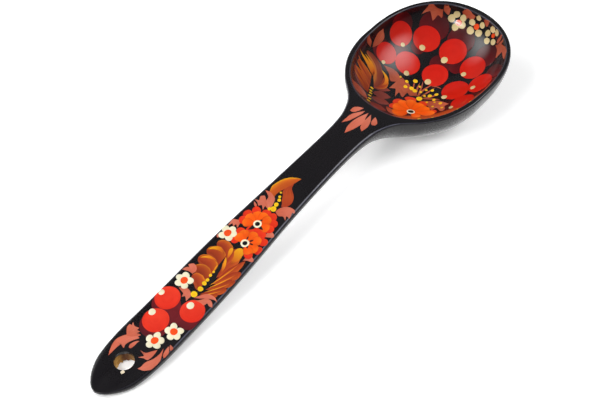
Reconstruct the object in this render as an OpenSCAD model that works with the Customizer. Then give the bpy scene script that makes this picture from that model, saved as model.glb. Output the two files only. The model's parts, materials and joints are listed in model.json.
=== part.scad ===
// Khokhloma serving spoon: a carved wooden spoon under black lacquer, with its painted
// berries, flowers and leaves as thin films of paint that lie on the lacquer.
// Millimetres. The spoon lies along X with the bowl at +X, and Z is up from the table.
// All lengths below are measured from the handle end, and the whole is centred at the end.

/* [Overall] */
// Length from the handle end to the bowl tip
spoon_l = 265; // [262:1:280]
// Height of the bowl rim above the table
rim_h = 26; // [25:0.5:28]

/* [Handle] */
// Widest part of the handle
handle_w = 25; // [24:0.5:27]
// Narrowest part of the neck
neck_w = 17.6; // [16:0.4:20]
// Thickness of the handle along its middle
handle_t = 5.6; // [5:0.2:6.4]
// Radius of the rounded long edges of the handle
edge_r = 1.8; // [1:0.1:2]
// Diameter of the hanging hole
hole_d = 8.6; // [7:0.2:9]
// Distance of the hanging hole from the handle end
hole_x = 18; // [16:0.5:19]

/* [Bowl] */
// Outside width of the bowl
bowl_w = 68; // [66:1:72]
// Width of the lip between the hollow and the outside
lip_w = 1.7; // [1.5:0.1:2.2]
// Depth of the hollow
bowl_depth = 21; // [17:0.5:21.5]
// Outside depth of the bowl below its rim
bowl_h = 25.8; // [25:0.2:27]

/* [Painting] */
// Thickness of a film of paint
paint_t = 0.15; // [0.1:0.05:0.3]
// Diameter of a berry in the bowl
bowl_berry_d = 12.6; // [11:0.2:13]
// Diameter of a berry on the handle
handle_berry_d = 11.4; // [10:0.2:12]
// Diameter of the petals of a white flower on the handle
petal_d = 3; // [2.4:0.2:3.2]

/* [Hidden] */
$fn = 24;

// How far the middle of the hollow lies from the bowl tip, and its reach each way
tip_reach = 39;
neck_reach = 42;
rim_tip = 2;
bowl_x = spoon_l - tip_reach - rim_tip;
hollow_x0 = bowl_x - neck_reach;
hollow_x1 = bowl_x + tip_reach;
hollow_half_w = bowl_w / 2 - lip_w;

// Squareness of the rim's outline, and the shape of the hollow's wall
rim_power = 2.25;
outline_power = 2.2;
wall_power = 1.5;
floor_power = 0.55;
// Width of the short straight edge where the hollow starts
rim_blunt = 4;
// Radius of the lip's outer edge, and the gap from a rounded edge to the flat top
lip_r = 1;
lip_gap = 0.3;
// Squareness of the underside, from the handle to the bowl
belly_pts = [[hollow_x0 - 60, 3], [hollow_x0 - 12, 2.1]];
// Roundness of the handle end, and the width left where the outline closes
end_round = 14;
end_half_w = 0.6;
// Largest share of the width or the thickness that a rounded edge takes
edge_share = 0.45;

hw = handle_w / 2;
nw = neck_w / 2;
bw = bowl_w / 2;

// Half width of the outline from the handle end to the middle of the bowl
width_pts = [
    [0, 0.64 * hw], [20, 0.975 * hw], [45, hw], [80, 0.95 * hw], [115, 0.8 * hw],
    [hollow_x0 - 42, 1.03 * nw], [hollow_x0 - 27, nw], [hollow_x0 - 17, 1.04 * nw],
    [hollow_x0 - 9, 1.2 * nw], [hollow_x0 - 1, 0.427 * bw], [hollow_x0 + 8, 0.7 * bw],
    [hollow_x0 + 18, 0.89 * bw], [hollow_x0 + 30, 0.988 * bw], [bowl_x, bw]
];
// Height of the upper face above the table
deck_pts = [
    [0, 0.108 * rim_h], [50, 0.335 * rim_h], [110, 0.715 * rim_h],
    [160, 0.927 * rim_h], [200, 0.985 * rim_h], [spoon_l, 1.008 * rim_h]
];
// Thickness along the middle line, with the hollow filled
depth_pts = [
    [0, 1.3], [15, 0.796 * handle_t], [80, handle_t], [hollow_x0 - 42, handle_t],
    [hollow_x0 - 17, 0.36 * bowl_h], [hollow_x0 + 3, 0.675 * bowl_h],
    [hollow_x0 + 28, 0.9955 * bowl_h], [hollow_x0 + 53, 0.865 * bowl_h],
    [hollow_x0 + 70, 0.59 * bowl_h], [spoon_l, 0.163 * bowl_h]
];

// A smooth curve through a list of [x, value] points
function slope(p, i) =
    i == 0 ? (p[1].y - p[0].y) / (p[1].x - p[0].x)
    : i == len(p) - 1 ? (p[i].y - p[i - 1].y) / (p[i].x - p[i - 1].x)
    : (p[i + 1].y - p[i - 1].y) / (p[i + 1].x - p[i - 1].x);
function span(p, x, i = 0) =
    i >= len(p) - 2 || x < p[i + 1].x ? i : span(p, x, i + 1);
function curve(p, x) =
    let (
        xc = min(max(x, p[0].x), p[len(p) - 1].x),
        i = span(p, xc),
        h = p[i + 1].x - p[i].x,
        t = (xc - p[i].x) / h
    )
    (2 * t ^ 3 - 3 * t ^ 2 + 1) * p[i].y
    + (t ^ 3 - 2 * t ^ 2 + t) * h * slope(p, i)
    + (3 * t ^ 2 - 2 * t ^ 3) * p[i + 1].y
    + (t ^ 3 - t ^ 2) * h * slope(p, i + 1);

// Other leg of a rounded square of the given power, when one leg is u
function leg(u, power) = (1 - min(abs(u), 1) ^ power) ^ (1 / power);

// Outside half width at x, rounded at the handle end and at the tip
function half_w(x) =
    max(
        end_half_w,
        x > bowl_x ? bw * leg((x - bowl_x) / (spoon_l - bowl_x), outline_power)
        : curve(width_pts, x) * leg(max(0, 1 - x / end_round), 2)
    );
function deck(x) = curve(deck_pts, x);
function depth(x) = curve(depth_pts, x);
function in_hollow(x) = x >= hollow_x0 && x <= hollow_x1;
function edge(x) =
    min(
        curve([[hollow_x0 - 12, edge_r], [hollow_x0 + 8, lip_r]], x),
        edge_share * half_w(x), edge_share * depth(x)
    );

// The hollow: rho is 0 in the middle and 1 on the rim
function reach(x) = x < bowl_x ? neck_reach : tip_reach;
function rim_w(x) = max(rim_blunt, hollow_half_w * leg((x - bowl_x) / reach(x), rim_power));
function rho(x, y) =
    (abs((x - bowl_x) / reach(x)) ^ rim_power + abs(y / hollow_half_w) ^ rim_power)
    ^ (1 / rim_power);
function hollow(x, y) =
    in_hollow(x) ? bowl_depth * (1 - min(1, rho(x, y)) ^ wall_power) ^ floor_power : 0;
function top_w(x) = in_hollow(x) ? rim_w(x) : half_w(x) - edge(x) - lip_gap;
function top_z(x, y) = deck(x) - hollow(x, y);

// Places of the cross sections: close together where the outline turns
handle_steps = [
    for (a = [0 : 15 : 90]) end_round * (1 - cos(a)),
    for (x = [22, 32, 42, 52, 62, 72, 82, 92, 102, 112, 122, 134, 146]) x,
    for (d = [28 : -4 : 4]) hollow_x0 - d
];
neck_side = [for (a = [0 : 7.5 : 82.5]) bowl_x - neck_reach * cos(a) ^ (2 / rim_power)];
tip_side = [for (a = [0 : 7.5 : 90]) bowl_x + tip_reach * sin(a) ^ (2 / rim_power)];
tip_end = [for (d = [1.3, 0.6, 0.2, 0]) spoon_l - d];
hollow_steps = [each neck_side, each tip_side];
steps = [each handle_steps, each hollow_steps, each tip_end];
// Lines along the spoon, as shares of the half width of its top
lines = [for (a = [90 : -11.25 : -90]) sin(a)];

// One closed cross section, counter-clockwise seen from the bowl tip
function under(x, a) =
    let (r = edge(x), p = 2 / curve(belly_pts, x), s = a < 0 ? -1 : 1)
    [
        x,
        s * half_w(x) * cos(90 - abs(a)) ^ p,
        deck(x) - r - (depth(x) - r) * sin(90 - abs(a)) ^ p
    ];
function corner(x, a, s) =
    let (r = edge(x))
    [x, s * (half_w(x) - r + r * cos(a)), deck(x) - r + r * sin(a)];
function section(x) = [
    for (a = [0 : 10 : 90]) under(x, a),
    for (a = [30, 60, 90]) corner(x, a, 1),
    for (t = lines) [x, t * top_w(x), top_z(x, t * top_w(x))],
    for (a = [90, 60, 30]) corner(x, a, -1),
    for (a = [-90 : 10 : -10]) under(x, a)
];

// A closed solid through a row of loops that all have the same number of points
module loft(loops) {
    n = len(loops[0]);
    m = len(loops);
    sides = [
        for (i = [0 : m - 2], j = [0 : n - 1])
            let (a = i * n + j, b = i * n + (j + 1) % n, c = b + n, d = a + n)
            each [[d, c, b], [d, b, a]]
    ];
    start = [for (j = [0 : n - 1]) j];
    end = [for (j = [n - 1 : -1 : 0]) (m - 1) * n + j];
    polyhedron([for (l = loops) each l], [start, each sides, end]);
}

// A thin sheet over a grid of points, equally thick everywhere when measured upwards
module sheet(rows, t) {
    n = len(rows[0]);
    m = len(rows);
    upper = n * m;
    cells = [
        for (i = [0 : m - 2], j = [0 : n - 2])
            let (a = i * n + j, b = a + 1, c = b + n, d = a + n)
            each [[a, b, c], [a, c, d]]
    ];
    rim = [
        for (j = [0 : n - 1]) j,
        for (i = [1 : m - 1]) i * n + n - 1,
        for (j = [n - 2 : -1 : 0]) (m - 1) * n + j,
        for (i = [m - 2 : -1 : 1]) i * n
    ];
    polyhedron(
        [for (row = rows, p = row) p, for (row = rows, p = row) p + [0, 0, t]],
        [
            each cells,
            for (f = cells) [f[2] + upper, f[1] + upper, f[0] + upper],
            for (k = [0 : len(rim) - 1])
                let (a = rim[k], b = rim[(k + 1) % len(rim)])
                [a, a + upper, b + upper, b]
        ]
    );
}

// The layer that paint fills on the hollow's wall, and the one on the flat top of the handle
module hollow_layer() {
    inner = [for (i = [1 : len(hollow_steps) - 2]) hollow_steps[i]];
    sheet([for (x = inner) [for (t = lines) [x, t * rim_w(x), top_z(x, t * rim_w(x))]]], paint_t);
}
module handle_layer() {
    run = [for (x = handle_steps) if (x >= end_round) x];
    side = [
        for (x = run) [x, deck(x)],
        for (i = [len(run) - 1 : -1 : 0]) [run[i], deck(run[i]) + paint_t]
    ];
    plan = [
        for (x = run) [x, top_w(x)],
        for (i = [len(run) - 1 : -1 : 0]) [run[i], -top_w(run[i])]
    ];
    intersection() {
        rotate([90, 0, 0])
            linear_extrude(height = handle_w, center = true)
                polygon(side);
        linear_extrude(height = paint_top)
            polygon(plan);
    }
}

// Strokes of the brush, flat, as seen from above. A leaf is pointed at both ends, a drop
// is round where it starts, and a petal is round at both ends.
stroke_steps = 10;
function brush_w(t, kind) =
    kind == "leaf" ? (4 * t * (1 - t)) ^ 0.85
    : kind == "drop" ? 2.6 * sqrt(t) * (1 - t)
    : (4 * t * (1 - t)) ^ 0.5;
module stroke(p, q, w, bend = 0, kind = "leaf") {
    run = q - p;
    across = [-run.y, run.x];
    unit = across / norm(across);
    function mid(t) = p + run * t + across * bend * 4 * t * (1 - t);
    function pt(t, s) = mid(t) + unit * s * w / 2 * brush_w(t, kind);
    left = [for (i = [0 : stroke_steps]) pt(i / stroke_steps, 1)];
    right = [for (i = [stroke_steps - 1 : -1 : 1]) pt(i / stroke_steps, -1)];
    polygon([each left, each right]);
}
module dot_at(p, d) {
    translate(p)
        circle(d = d);
}

// Paint on the handle from flat shapes, and paint on the wall of the hollow
paint_top = 60;
module on_handle() {
    intersection() {
        handle_layer();
        linear_extrude(height = paint_top)
            children();
    }
}
module over_bowl() {
    translate([bowl_x, 0, 0])
        linear_extrude(height = paint_top)
            children();
}
module on_hollow() {
    intersection() {
        hollow_layer();
        over_bowl()
            children();
    }
}

// Round spots in the hollow stand square to its wall, so they stay round there
probe = 0.5;
spot_h = 6;
module spot(p, d) {
    x = bowl_x + p.x;
    y = p.y;
    rise_x = (top_z(x + probe, y) - top_z(x - probe, y)) / (2 * probe);
    rise_y = (top_z(x, y + probe) - top_z(x, y - probe)) / (2 * probe);
    translate([x, y, top_z(x, y)])
        rotate([atan(rise_y), -atan(rise_x), 0])
            cylinder(h = spot_h, d = d, center = true);
}
module spots(list, d) {
    for (p = list)
        spot(p, d);
}

// ---------- the spoon itself ----------
hole_len = 20;
// No paint closer than this to the edge of the hole
hole_margin = 0.4;
module hanging_hole() {
    tilt = atan((deck(hole_x + hole_d) - deck(hole_x - hole_d)) / (2 * hole_d));
    translate([hole_x, 0, deck(hole_x) - depth(hole_x) / 2])
        rotate([0, -tilt, 0])
            cylinder(h = hole_len, d = hole_d, center = true);
}
module spoon_body() {
    color([0.12, 0.11, 0.13])
        difference() {
            loft([for (x = steps) section(x)]);
            hanging_hole();
        }
}

// ---------- painting on the neck and the handle ----------
terracotta = [0.84, 0.43, 0.33];
cream = [0.96, 0.94, 0.82];
berry_red = [0.90, 0.20, 0.13];
maroon = [0.45, 0.11, 0.13];
centre_red = [0.98, 0.33, 0.12];
petal_red = [0.88, 0.18, 0.10];
petal_orange = [1.00, 0.40, 0.05];
leaf_orange = [0.85, 0.42, 0.12];
dot_yellow = [1.00, 0.82, 0.12];

module neck_leaf_spray() {
    color(terracotta)
        on_handle()
            translate([hollow_x0, 0]) {
                stroke([-8, 7.5], [-3, 3.5], 3, 0, "drop");
                stroke([-4, 2], [-16, 5.5], 3.5, -0.06);
                stroke([-4, 0], [-20, 1], 5, 0.08);
                stroke([-4.5, -1.5], [-15, -4.5], 3.5, 0.08);
                stroke([-8.5, -7], [-4, -4], 3, 0, "drop");
            }
}

module bud_slit() {
    stroke([110, -2], [120.5, 2.5], 3, -0.06);
}
module handle_bud_leaf() {
    color(leaf_orange)
        on_handle()
            difference() {
                union() {
                    stroke([130.5, -0.5], [112.5, 4.5], 5.5, -0.1);
                    stroke([126.5, 1], [111.5, -4.5], 6.5, 0.12);
                }
                bud_slit();
                bud_side_leaves();
                bud_dots();
            }
}
module bud_side_leaves() {
    stroke([109.5, 0.5], [117, 8.5], 4.5, 0.1);
    stroke([109, 1], [110.5, 8.5], 4, -0.05);
    stroke([110, -2.5], [115.5, -10], 3.5, 0.1);
    stroke([110, -2.5], [110, -9], 3, 0);
}

flower_1 = [101, -0.5];
flower_2 = [91, -2.5];
red_1 = [[106, 4.5], [102.5, 7], [99, 6], [107.5, 0], [107.5, -3.5], [105, -6], [102, -6.5]];
red_2 = [[94, 3], [97, 0], [98.5, -3], [98, -5.5], [95, -8.5], [91, -9.5], [87.5, -7.5], [90, 2.5]];
orange_1 = [[104.5, 2.5], [102, 4.5], [105.5, 0], [99.5, 3.5], [105, -2.5], [102, -4.5]];
orange_2 = [[94, 1], [95.5, -3], [94.5, -6], [90.5, -7.5], [88.5, -6], [91.5, 1.5]];
petal_red_d = 4;
petal_orange_d = 4.3;
flower_core_d = 6.4;
eye_d = 3.9;
pupil_d = 1.9;

module red_shapes() {
    for (p = [each red_1, each red_2])
        dot_at(p, petal_red_d);
}
module orange_shapes() {
    for (p = [each orange_1, each orange_2])
        dot_at(p, petal_orange_d);
    dot_at(flower_1 + [1, 0.4], flower_core_d);
    dot_at(flower_2 + [1, 0.2], flower_core_d);
}
module eye_shapes() {
    dot_at(flower_1, eye_d);
    dot_at(flower_2, eye_d);
}
module handle_red_petals() {
    color(petal_red)
        on_handle()
            difference() {
                red_shapes();
                orange_shapes();
                bud_side_leaves();
            }
}
module handle_orange_petals() {
    color(petal_orange)
        on_handle()
            difference() {
                orange_shapes();
                eye_shapes();
            }
}
module handle_flower_eyes() {
    color(cream)
        on_handle()
            difference() {
                eye_shapes();
                dot_at(flower_1, pupil_d);
                dot_at(flower_2, pupil_d);
            }
}

// White flowers of five round petals: [x, y, turn of the first petal]
handle_white = [[90, 7, 20], [61.5, 7, 60], [40.5, -7, 40], [32.5, -3.5, 15]];
petal_ring = 2.6;
centre_d = 3.2;
module five_petals(f) {
    for (i = [0 : 4])
        translate([f.x, f.y])
            rotate(f.z + 72 * i)
                translate([petal_ring, 0])
                    circle(d = petal_d);
}
module handle_white_petals() {
    color(cream)
        on_handle()
            difference() {
                for (f = handle_white)
                    five_petals(f);
                for (f = handle_white)
                    dot_at([f.x, f.y], centre_d);
                red_shapes();
            }
}
module handle_flower_centres() {
    color(centre_red)
        on_handle()
            for (f = handle_white)
                dot_at([f.x, f.y], centre_d);
}

module feather_slit() {
    stroke([56, -2], [81.5, 0.5], 3.5, 0.03);
}
module feather_shapes() {
    stroke([61, -1.5], [65.5, 6.5], 4.5, 0, "petal");
    stroke([64, -1.5], [70, 8.5], 5, 0, "petal");
    stroke([69.5, -1], [74.5, 10], 6, 0, "petal");
    stroke([75, -1], [79, 10], 6, 0, "petal");
    stroke([78.5, -1], [85.5, 8.5], 6, 0, "petal");
    stroke([77, -4.5], [87, -2], 4.5, 0, "petal");
    stroke([69.5, -4], [84, -8.5], 4.5, 0.04);
    stroke([67, -4], [79.5, -10.5], 5, 0.04);
    stroke([64, -3.5], [75, -11], 5, 0.04);
    stroke([61, -3], [70, -11], 5, 0.04);
    stroke([58.5, -2.5], [65, -10], 4.5, 0.04);
}
module handle_feather_leaf() {
    color(leaf_orange)
        on_handle()
            difference() {
                feather_shapes();
                feather_slit();
                feather_dots();
            }
}
module bud_dots() {
    dot_at([119.5, 2], 1);
    dot_at([117.5, 1], 1.4);
    dot_at([116, 0], 1.8);
    dot_at([113.5, -0.5], 2.2);
    dot_at([111, -1], 2.6);
}
module feather_dots() {
    dot_at([59, -1.5], 3);
    dot_at([62.5, -2], 2.5);
    dot_at([65.5, -1.5], 2);
    dot_at([67.5, -1.5], 1.6);
    dot_at([70, -1], 1.4);
    dot_at([72, -0.5], 1.2);
}
module handle_yellow_dots() {
    color(dot_yellow)
        on_handle() {
            bud_dots();
            feather_dots();
        }
}

handle_berry = [[51, 6.5], [40, 3], [52.5, -6.5]];
shade_shift = [-2, -1];
shade_d = 12.4;
handle_glint = [[51.5, 10], [42, 6.5], [54, -4]];
glint_d = 3.1;
module berry_shapes() {
    for (p = handle_berry)
        dot_at(p, handle_berry_d);
}
module glint_shapes() {
    for (p = handle_glint)
        dot_at(p, glint_d);
}
module handle_berry_shades() {
    color(maroon)
        on_handle()
            difference() {
                for (p = handle_berry)
                    dot_at(p + shade_shift, shade_d);
                berry_shapes();
                for (f = handle_white)
                    five_petals(f);
            }
}
module handle_berries() {
    color(berry_red)
        on_handle()
            difference() {
                berry_shapes();
                glint_shapes();
                feather_side_leaves();
            }
}
module handle_berry_glints() {
    color(cream)
        on_handle()
            glint_shapes();
}

module feather_side_leaves() {
    stroke([57.5, -2.5], [62, -12], 3, 0.1);
    stroke([57, -4], [58.5, -11.5], 3, 0.08);
    stroke([54.5, -0.5], [59, 4.5], 3.5, -0.1);
}
module handle_terracotta_leaves() {
    color(terracotta)
        on_handle()
            difference() {
                union() {
                    bud_side_leaves();
                    feather_side_leaves();
                    stroke([66, 5.5], [69, 10], 3, 0.05);
                    stroke([66, 6], [65, 10.5], 2.5, 0);
                    stroke([95.5, 5], [94.5, 10], 2.5, 0.1);
                    stroke([98, -7.5], [100.5, -11], 2.5, -0.15);
                    stroke([83.5, -7.5], [86, -11.5], 2.5, -0.15);
                    stroke([31, 2.5], [15.5, 7], 4.5, -0.03);
                    stroke([27, 4], [33.5, 10], 5, -0.05);
                    stroke([29.5, 2], [22, 5], 3, 0.05);
                    stroke([23.5, 2.5], [28, 1.5], 2, 0, "drop");
                    stroke([30, -7], [25, -2.5], 2, 0);
                    stroke([30, -8], [22.5, -3.5], 2, 0);
                    stroke([32.5, -9], [18.5, -7], 4, 0.22);
                    stroke([29, -11.5], [34, -10], 2, 0, "drop");
                }
                feather_dots();
                bud_dots();
                feather_shapes();
                for (f = handle_white)
                    five_petals(f);
                dot_at([hole_x, 0], hole_d + 2 * hole_margin);
            }
}

// ---------- painting in the bowl, from the middle of the hollow ----------
bowl_berry = [
    [11.5, 25], [20, 16], [23, 2], [-1.5, 24.5], [4.5, 14.5], [8, 1.5],
    [20, -11], [12, -21.5], [4.5, -12.5], [-2.5, -21]
];
bowl_glint = [
    [9, 22], [15.5, 15], [17.5, 3], [-6, 22], [-0.5, 12.5], [3.5, 2],
    [15.5, -9.5], [9, -19], [-1, -11], [-7.5, -19]
];
bowl_shade = [
    [15, 25.5], [25.5, 15.5], [28, 2], [25, -13], [11, 15], [13.5, 2.5], [12.5, -6], [17, -22]
];
bowl_glint_d = 2.8;
bowl_shade_d = 12.6;
module bowl_glint_shapes() {
    for (p = bowl_glint)
        dot_at(p, bowl_glint_d);
}
module bowl_berry_shades() {
    color(maroon)
        difference() {
            intersection() {
                hollow_layer();
                spots(bowl_shade, bowl_shade_d);
            }
            spots(bowl_berry, bowl_berry_d);
        }
}
module bowl_berries() {
    color(berry_red)
        difference() {
            intersection() {
                hollow_layer();
                spots(bowl_berry, bowl_berry_d);
            }
            over_bowl()
                bowl_glint_shapes();
        }
}
module bowl_berry_glints() {
    color(cream)
        on_hollow()
            bowl_glint_shapes();
}

bowl_white = [[34, 8, 30], [36, -0.5, 10], [35, -11, 30]];
bowl_petal_d = 3.2;
bowl_petal_ring = [2.2, 3];
bowl_centre_d = 3;
module bowl_white_petals() {
    color(cream)
        on_hollow()
            difference() {
                for (f = bowl_white, i = [0 : 4])
                    let (a = f.z + 72 * i)
                    dot_at([f.x + bowl_petal_ring.x * cos(a), f.y + bowl_petal_ring.y * sin(a)],
                        bowl_petal_d);
                for (f = bowl_white)
                    dot_at([f.x, f.y], bowl_centre_d);
            }
}
module bowl_flower_centres() {
    color(centre_red)
        on_hollow()
            for (f = bowl_white)
                dot_at([f.x, f.y], bowl_centre_d);
}

bowl_flower = [-20, -5];
bowl_red = [[-18.5, 3.5], [-13, 0], [-11.5, -5], [-13.5, -11.5], [-23.5, 3]];
bowl_orange = [
    [-19, 0.5], [-15.5, -2.5], [-23.5, -4], [-15.5, -7], [-16.5, -11.5], [-22, -9], [-24.5, 0]
];
bowl_petal_red_d = 4.8;
bowl_petal_orange_d = 5;
module bowl_orange_shapes() {
    for (p = bowl_orange)
        dot_at(p, bowl_petal_orange_d);
    dot_at(bowl_flower, flower_core_d);
}
module bowl_red_petals() {
    color(petal_red)
        on_hollow()
            difference() {
                for (p = bowl_red)
                    dot_at(p, bowl_petal_red_d);
                bowl_orange_shapes();
            }
}
module bowl_orange_petals() {
    color(petal_orange)
        on_hollow()
            difference() {
                bowl_orange_shapes();
                dot_at(bowl_flower, eye_d);
            }
}
module bowl_flower_eye() {
    color(cream)
        on_hollow()
            difference() {
                dot_at(bowl_flower, eye_d);
                dot_at(bowl_flower, pupil_d);
            }
}

module bowl_feather_leaf() {
    color(leaf_orange)
        on_hollow()
            difference() {
                union() {
                    stroke([-27, 17], [-19.5, 27], 6, 0, "petal");
                    stroke([-23, 17], [-13.5, 28.5], 4.5, -0.04);
                    stroke([-20, 16], [-10, 28], 4.5, -0.06);
                    stroke([-20, 13], [-8.5, 22.5], 5, -0.06);
                    stroke([-21, 10], [-10.5, 18], 4.5, -0.06);
                    stroke([-28, 9], [-17, 12.5], 5.5, 0, "petal");
                }
                stroke([-33.5, 10], [-17, 21], 2.5, 0.04);
            }
}
sprig_dots = [
    [-0.5, 7, 2.2], [-7, 8, 2], [-5.5, 5.5, 1.6], [-6, 3.5, 2], [-8.5, -1.5, 2.6],
    [1, -2, 1.6], [-1, -6, 2], [-3.5, -4, 1.8], [-1.5, 4, 1.2], [-5, -7.5, 1.6],
    [-6, -12, 1.8], [-9, -15, 1.4], [-10, -10.5, 1.4]
];
module bowl_sprig_dots() {
    color(dot_yellow)
        on_hollow()
            for (p = sprig_dots)
                dot_at([p.x, p.y], p.z);
}
module bowl_terracotta_leaves() {
    color(0.8 * terracotta)
        on_hollow()
            difference() {
                union() {
                    stroke([-9, 1.5], [-6.5, 10], 3, 0.05);
                    stroke([-9, 2], [-14, 11], 4, 0.1);
                    stroke([-8, 9], [-7.5, 20.5], 4.5, 0.05);
                    stroke([-8, -7], [-4.5, -15.5], 3.5, -0.1);
                    stroke([-8.5, -7.5], [-10.5, -17], 3, 0.1);
                    stroke([-31, 12.5], [-31, 20.5], 3.5, -0.1);
                    stroke([-26.5, 4.5], [-28.5, -2.5], 2.5, 0);
                    stroke([32.5, 15.5], [25.5, 23], 3, -0.05);
                    stroke([32, 15.5], [30.5, 20], 2.5, 0);
                    stroke([31.5, -16], [25, -24.5], 3, 0.05);
                    stroke([-6, 28.5], [3.5, 30.5], 3, 0);
                }
                for (p = sprig_dots)
                    dot_at([p.x, p.y], p.z);
            }
}

centred = [-spoon_l / 2, 0, 0];
translate(centred) spoon_body();
translate(centred) neck_leaf_spray();
translate(centred) handle_bud_leaf();
translate(centred) handle_red_petals();
translate(centred) handle_orange_petals();
translate(centred) handle_flower_eyes();
translate(centred) handle_white_petals();
translate(centred) handle_flower_centres();
translate(centred) handle_feather_leaf();
translate(centred) handle_yellow_dots();
translate(centred) handle_berry_shades();
translate(centred) handle_berries();
translate(centred) handle_berry_glints();
translate(centred) handle_terracotta_leaves();
translate(centred) bowl_berry_shades();
translate(centred) bowl_berries();
translate(centred) bowl_berry_glints();
translate(centred) bowl_white_petals();
translate(centred) bowl_flower_centres();
translate(centred) bowl_red_petals();
translate(centred) bowl_orange_petals();
translate(centred) bowl_flower_eye();
translate(centred) bowl_feather_leaf();
translate(centred) bowl_sprig_dots();
translate(centred) bowl_terracotta_leaves();
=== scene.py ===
"""Painted khokhloma spoon: black lacquered wood with brush-painted berries, flowers and leaves.

Lengths in the design sections are millimetres, measured along the spoon from its handle end
(x), across it (y) and up from the table (z), as the CAD measures them. place() turns them
into the frame's metres.
"""
import contextlib
import json
import math

import bmesh
import bpy
import numpy as np
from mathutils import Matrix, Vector


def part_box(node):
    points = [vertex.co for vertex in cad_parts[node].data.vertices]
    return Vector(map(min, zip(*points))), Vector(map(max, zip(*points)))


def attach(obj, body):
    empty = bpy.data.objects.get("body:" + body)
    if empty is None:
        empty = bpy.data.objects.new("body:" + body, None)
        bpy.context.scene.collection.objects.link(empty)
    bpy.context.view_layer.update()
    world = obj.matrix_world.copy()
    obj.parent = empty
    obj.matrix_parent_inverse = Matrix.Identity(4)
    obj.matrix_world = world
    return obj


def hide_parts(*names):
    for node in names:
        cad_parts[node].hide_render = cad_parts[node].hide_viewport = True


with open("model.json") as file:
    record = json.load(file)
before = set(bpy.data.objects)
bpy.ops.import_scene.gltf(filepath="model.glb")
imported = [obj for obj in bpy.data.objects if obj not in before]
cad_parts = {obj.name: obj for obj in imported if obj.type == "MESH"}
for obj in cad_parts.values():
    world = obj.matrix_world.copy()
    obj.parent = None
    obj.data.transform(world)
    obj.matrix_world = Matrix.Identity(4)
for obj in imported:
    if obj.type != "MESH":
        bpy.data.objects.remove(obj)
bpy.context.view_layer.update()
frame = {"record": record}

MM = 0.001
BODY_LOW, BODY_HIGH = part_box("spoon_body")
SPOON_L = (BODY_HIGH[0] - BODY_LOW[0]) / MM
BOWL_W = (BODY_HIGH[1] - BODY_LOW[1]) / MM
HANGING = next(m for m in frame["record"]["mounts"] if m["name"] == "hanging_hole")
random_numbers = np.random.default_rng(7)

# ---- the carved shape
# Heights of the rim, half widths, thickness of the handle, height and depth of the bowl, reach of
# the hollow from its middle to the tip and to the neck, wall at the tip and at the sides, and
# roundings; then the powers of the rounded squares of the outline and of the hollow's rim
RIM_H = 26.0
HANDLE_HALF = 12.5
NECK_HALF = 8.8
HANDLE_T = 5.6
BOWL_H = 25.8
BOWL_DEPTH = 21.0
TIP_REACH = 39.0
NECK_REACH = 42.0
RIM_TIP = 2.0
LIP_W = 1.7
HANDLE_EDGE = 1.8
LIP_EDGE = 1.0
INNER_EDGE = 0.7
END_ROUND = 14.0
END_HALF = 0.6
OUTLINE_POWER = 2.2
RIM_POWER = 2.25

BOWL_HALF = BOWL_W / 2
BOWL_X = SPOON_L - TIP_REACH - RIM_TIP
HOLLOW_X0 = BOWL_X - NECK_REACH
HOLLOW_HALF = BOWL_HALF - LIP_W

# Along the spoon: half width, height of the upper face, depth below it, how full the belly's
# cross section is, and radius of the long edges
WIDTH = [
    (0, 0.64 * HANDLE_HALF), (20, 0.975 * HANDLE_HALF), (45, HANDLE_HALF),
    (80, 0.95 * HANDLE_HALF), (115, 0.8 * HANDLE_HALF),
    (HOLLOW_X0 - 42, 1.03 * NECK_HALF), (HOLLOW_X0 - 27, NECK_HALF),
    (HOLLOW_X0 - 17, 1.04 * NECK_HALF), (HOLLOW_X0 - 9, 1.2 * NECK_HALF),
    (HOLLOW_X0 - 1, 0.427 * BOWL_HALF), (HOLLOW_X0 + 8, 0.7 * BOWL_HALF),
    (HOLLOW_X0 + 18, 0.89 * BOWL_HALF), (HOLLOW_X0 + 30, 0.988 * BOWL_HALF),
    (BOWL_X, BOWL_HALF),
]
DECK = [
    (0, 0.108 * RIM_H), (50, 0.335 * RIM_H), (110, 0.715 * RIM_H),
    (160, 0.927 * RIM_H), (200, 0.985 * RIM_H), (SPOON_L, 1.008 * RIM_H),
]
DEPTH = [
    (0, 1.3), (15, 0.796 * HANDLE_T), (80, HANDLE_T), (HOLLOW_X0 - 42, HANDLE_T),
    (HOLLOW_X0 - 17, 0.36 * BOWL_H), (HOLLOW_X0 + 3, 0.675 * BOWL_H),
    (HOLLOW_X0 + 28, 0.9955 * BOWL_H), (HOLLOW_X0 + 53, 0.865 * BOWL_H),
    (HOLLOW_X0 + 70, 0.59 * BOWL_H), (SPOON_L, 0.163 * BOWL_H),
]
BELLY = [(HOLLOW_X0 - 60, 3.0), (HOLLOW_X0 - 12, 2.1)]
EDGE = [(HOLLOW_X0 - 12, HANDLE_EDGE), (HOLLOW_X0 + 8, LIP_EDGE)]


def curve(points, x):
    """Smooth curve through (x, value) points, level beyond both ends."""
    px = np.array([p[0] for p in points], float)
    py = np.array([p[1] for p in points], float)
    slope = np.empty(len(px))
    slope[1:-1] = (py[2:] - py[:-2]) / (px[2:] - px[:-2])
    slope[0] = (py[1] - py[0]) / (px[1] - px[0])
    slope[-1] = (py[-1] - py[-2]) / (px[-1] - px[-2])
    x = np.clip(np.asarray(x, float), px[0], px[-1])
    i = np.clip(np.searchsorted(px, x, side="right") - 1, 0, len(px) - 2)
    h = px[i + 1] - px[i]
    t = (x - px[i]) / h
    return ((2 * t**3 - 3 * t**2 + 1) * py[i] + (t**3 - 2 * t**2 + t) * h * slope[i]
            + (3 * t**2 - 2 * t**3) * py[i + 1] + (t**3 - t**2) * h * slope[i + 1])


def leg(u, power):
    """Other leg of a rounded square of the given power."""
    return (1 - np.minimum(np.abs(u), 1) ** power) ** (1 / power)


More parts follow.
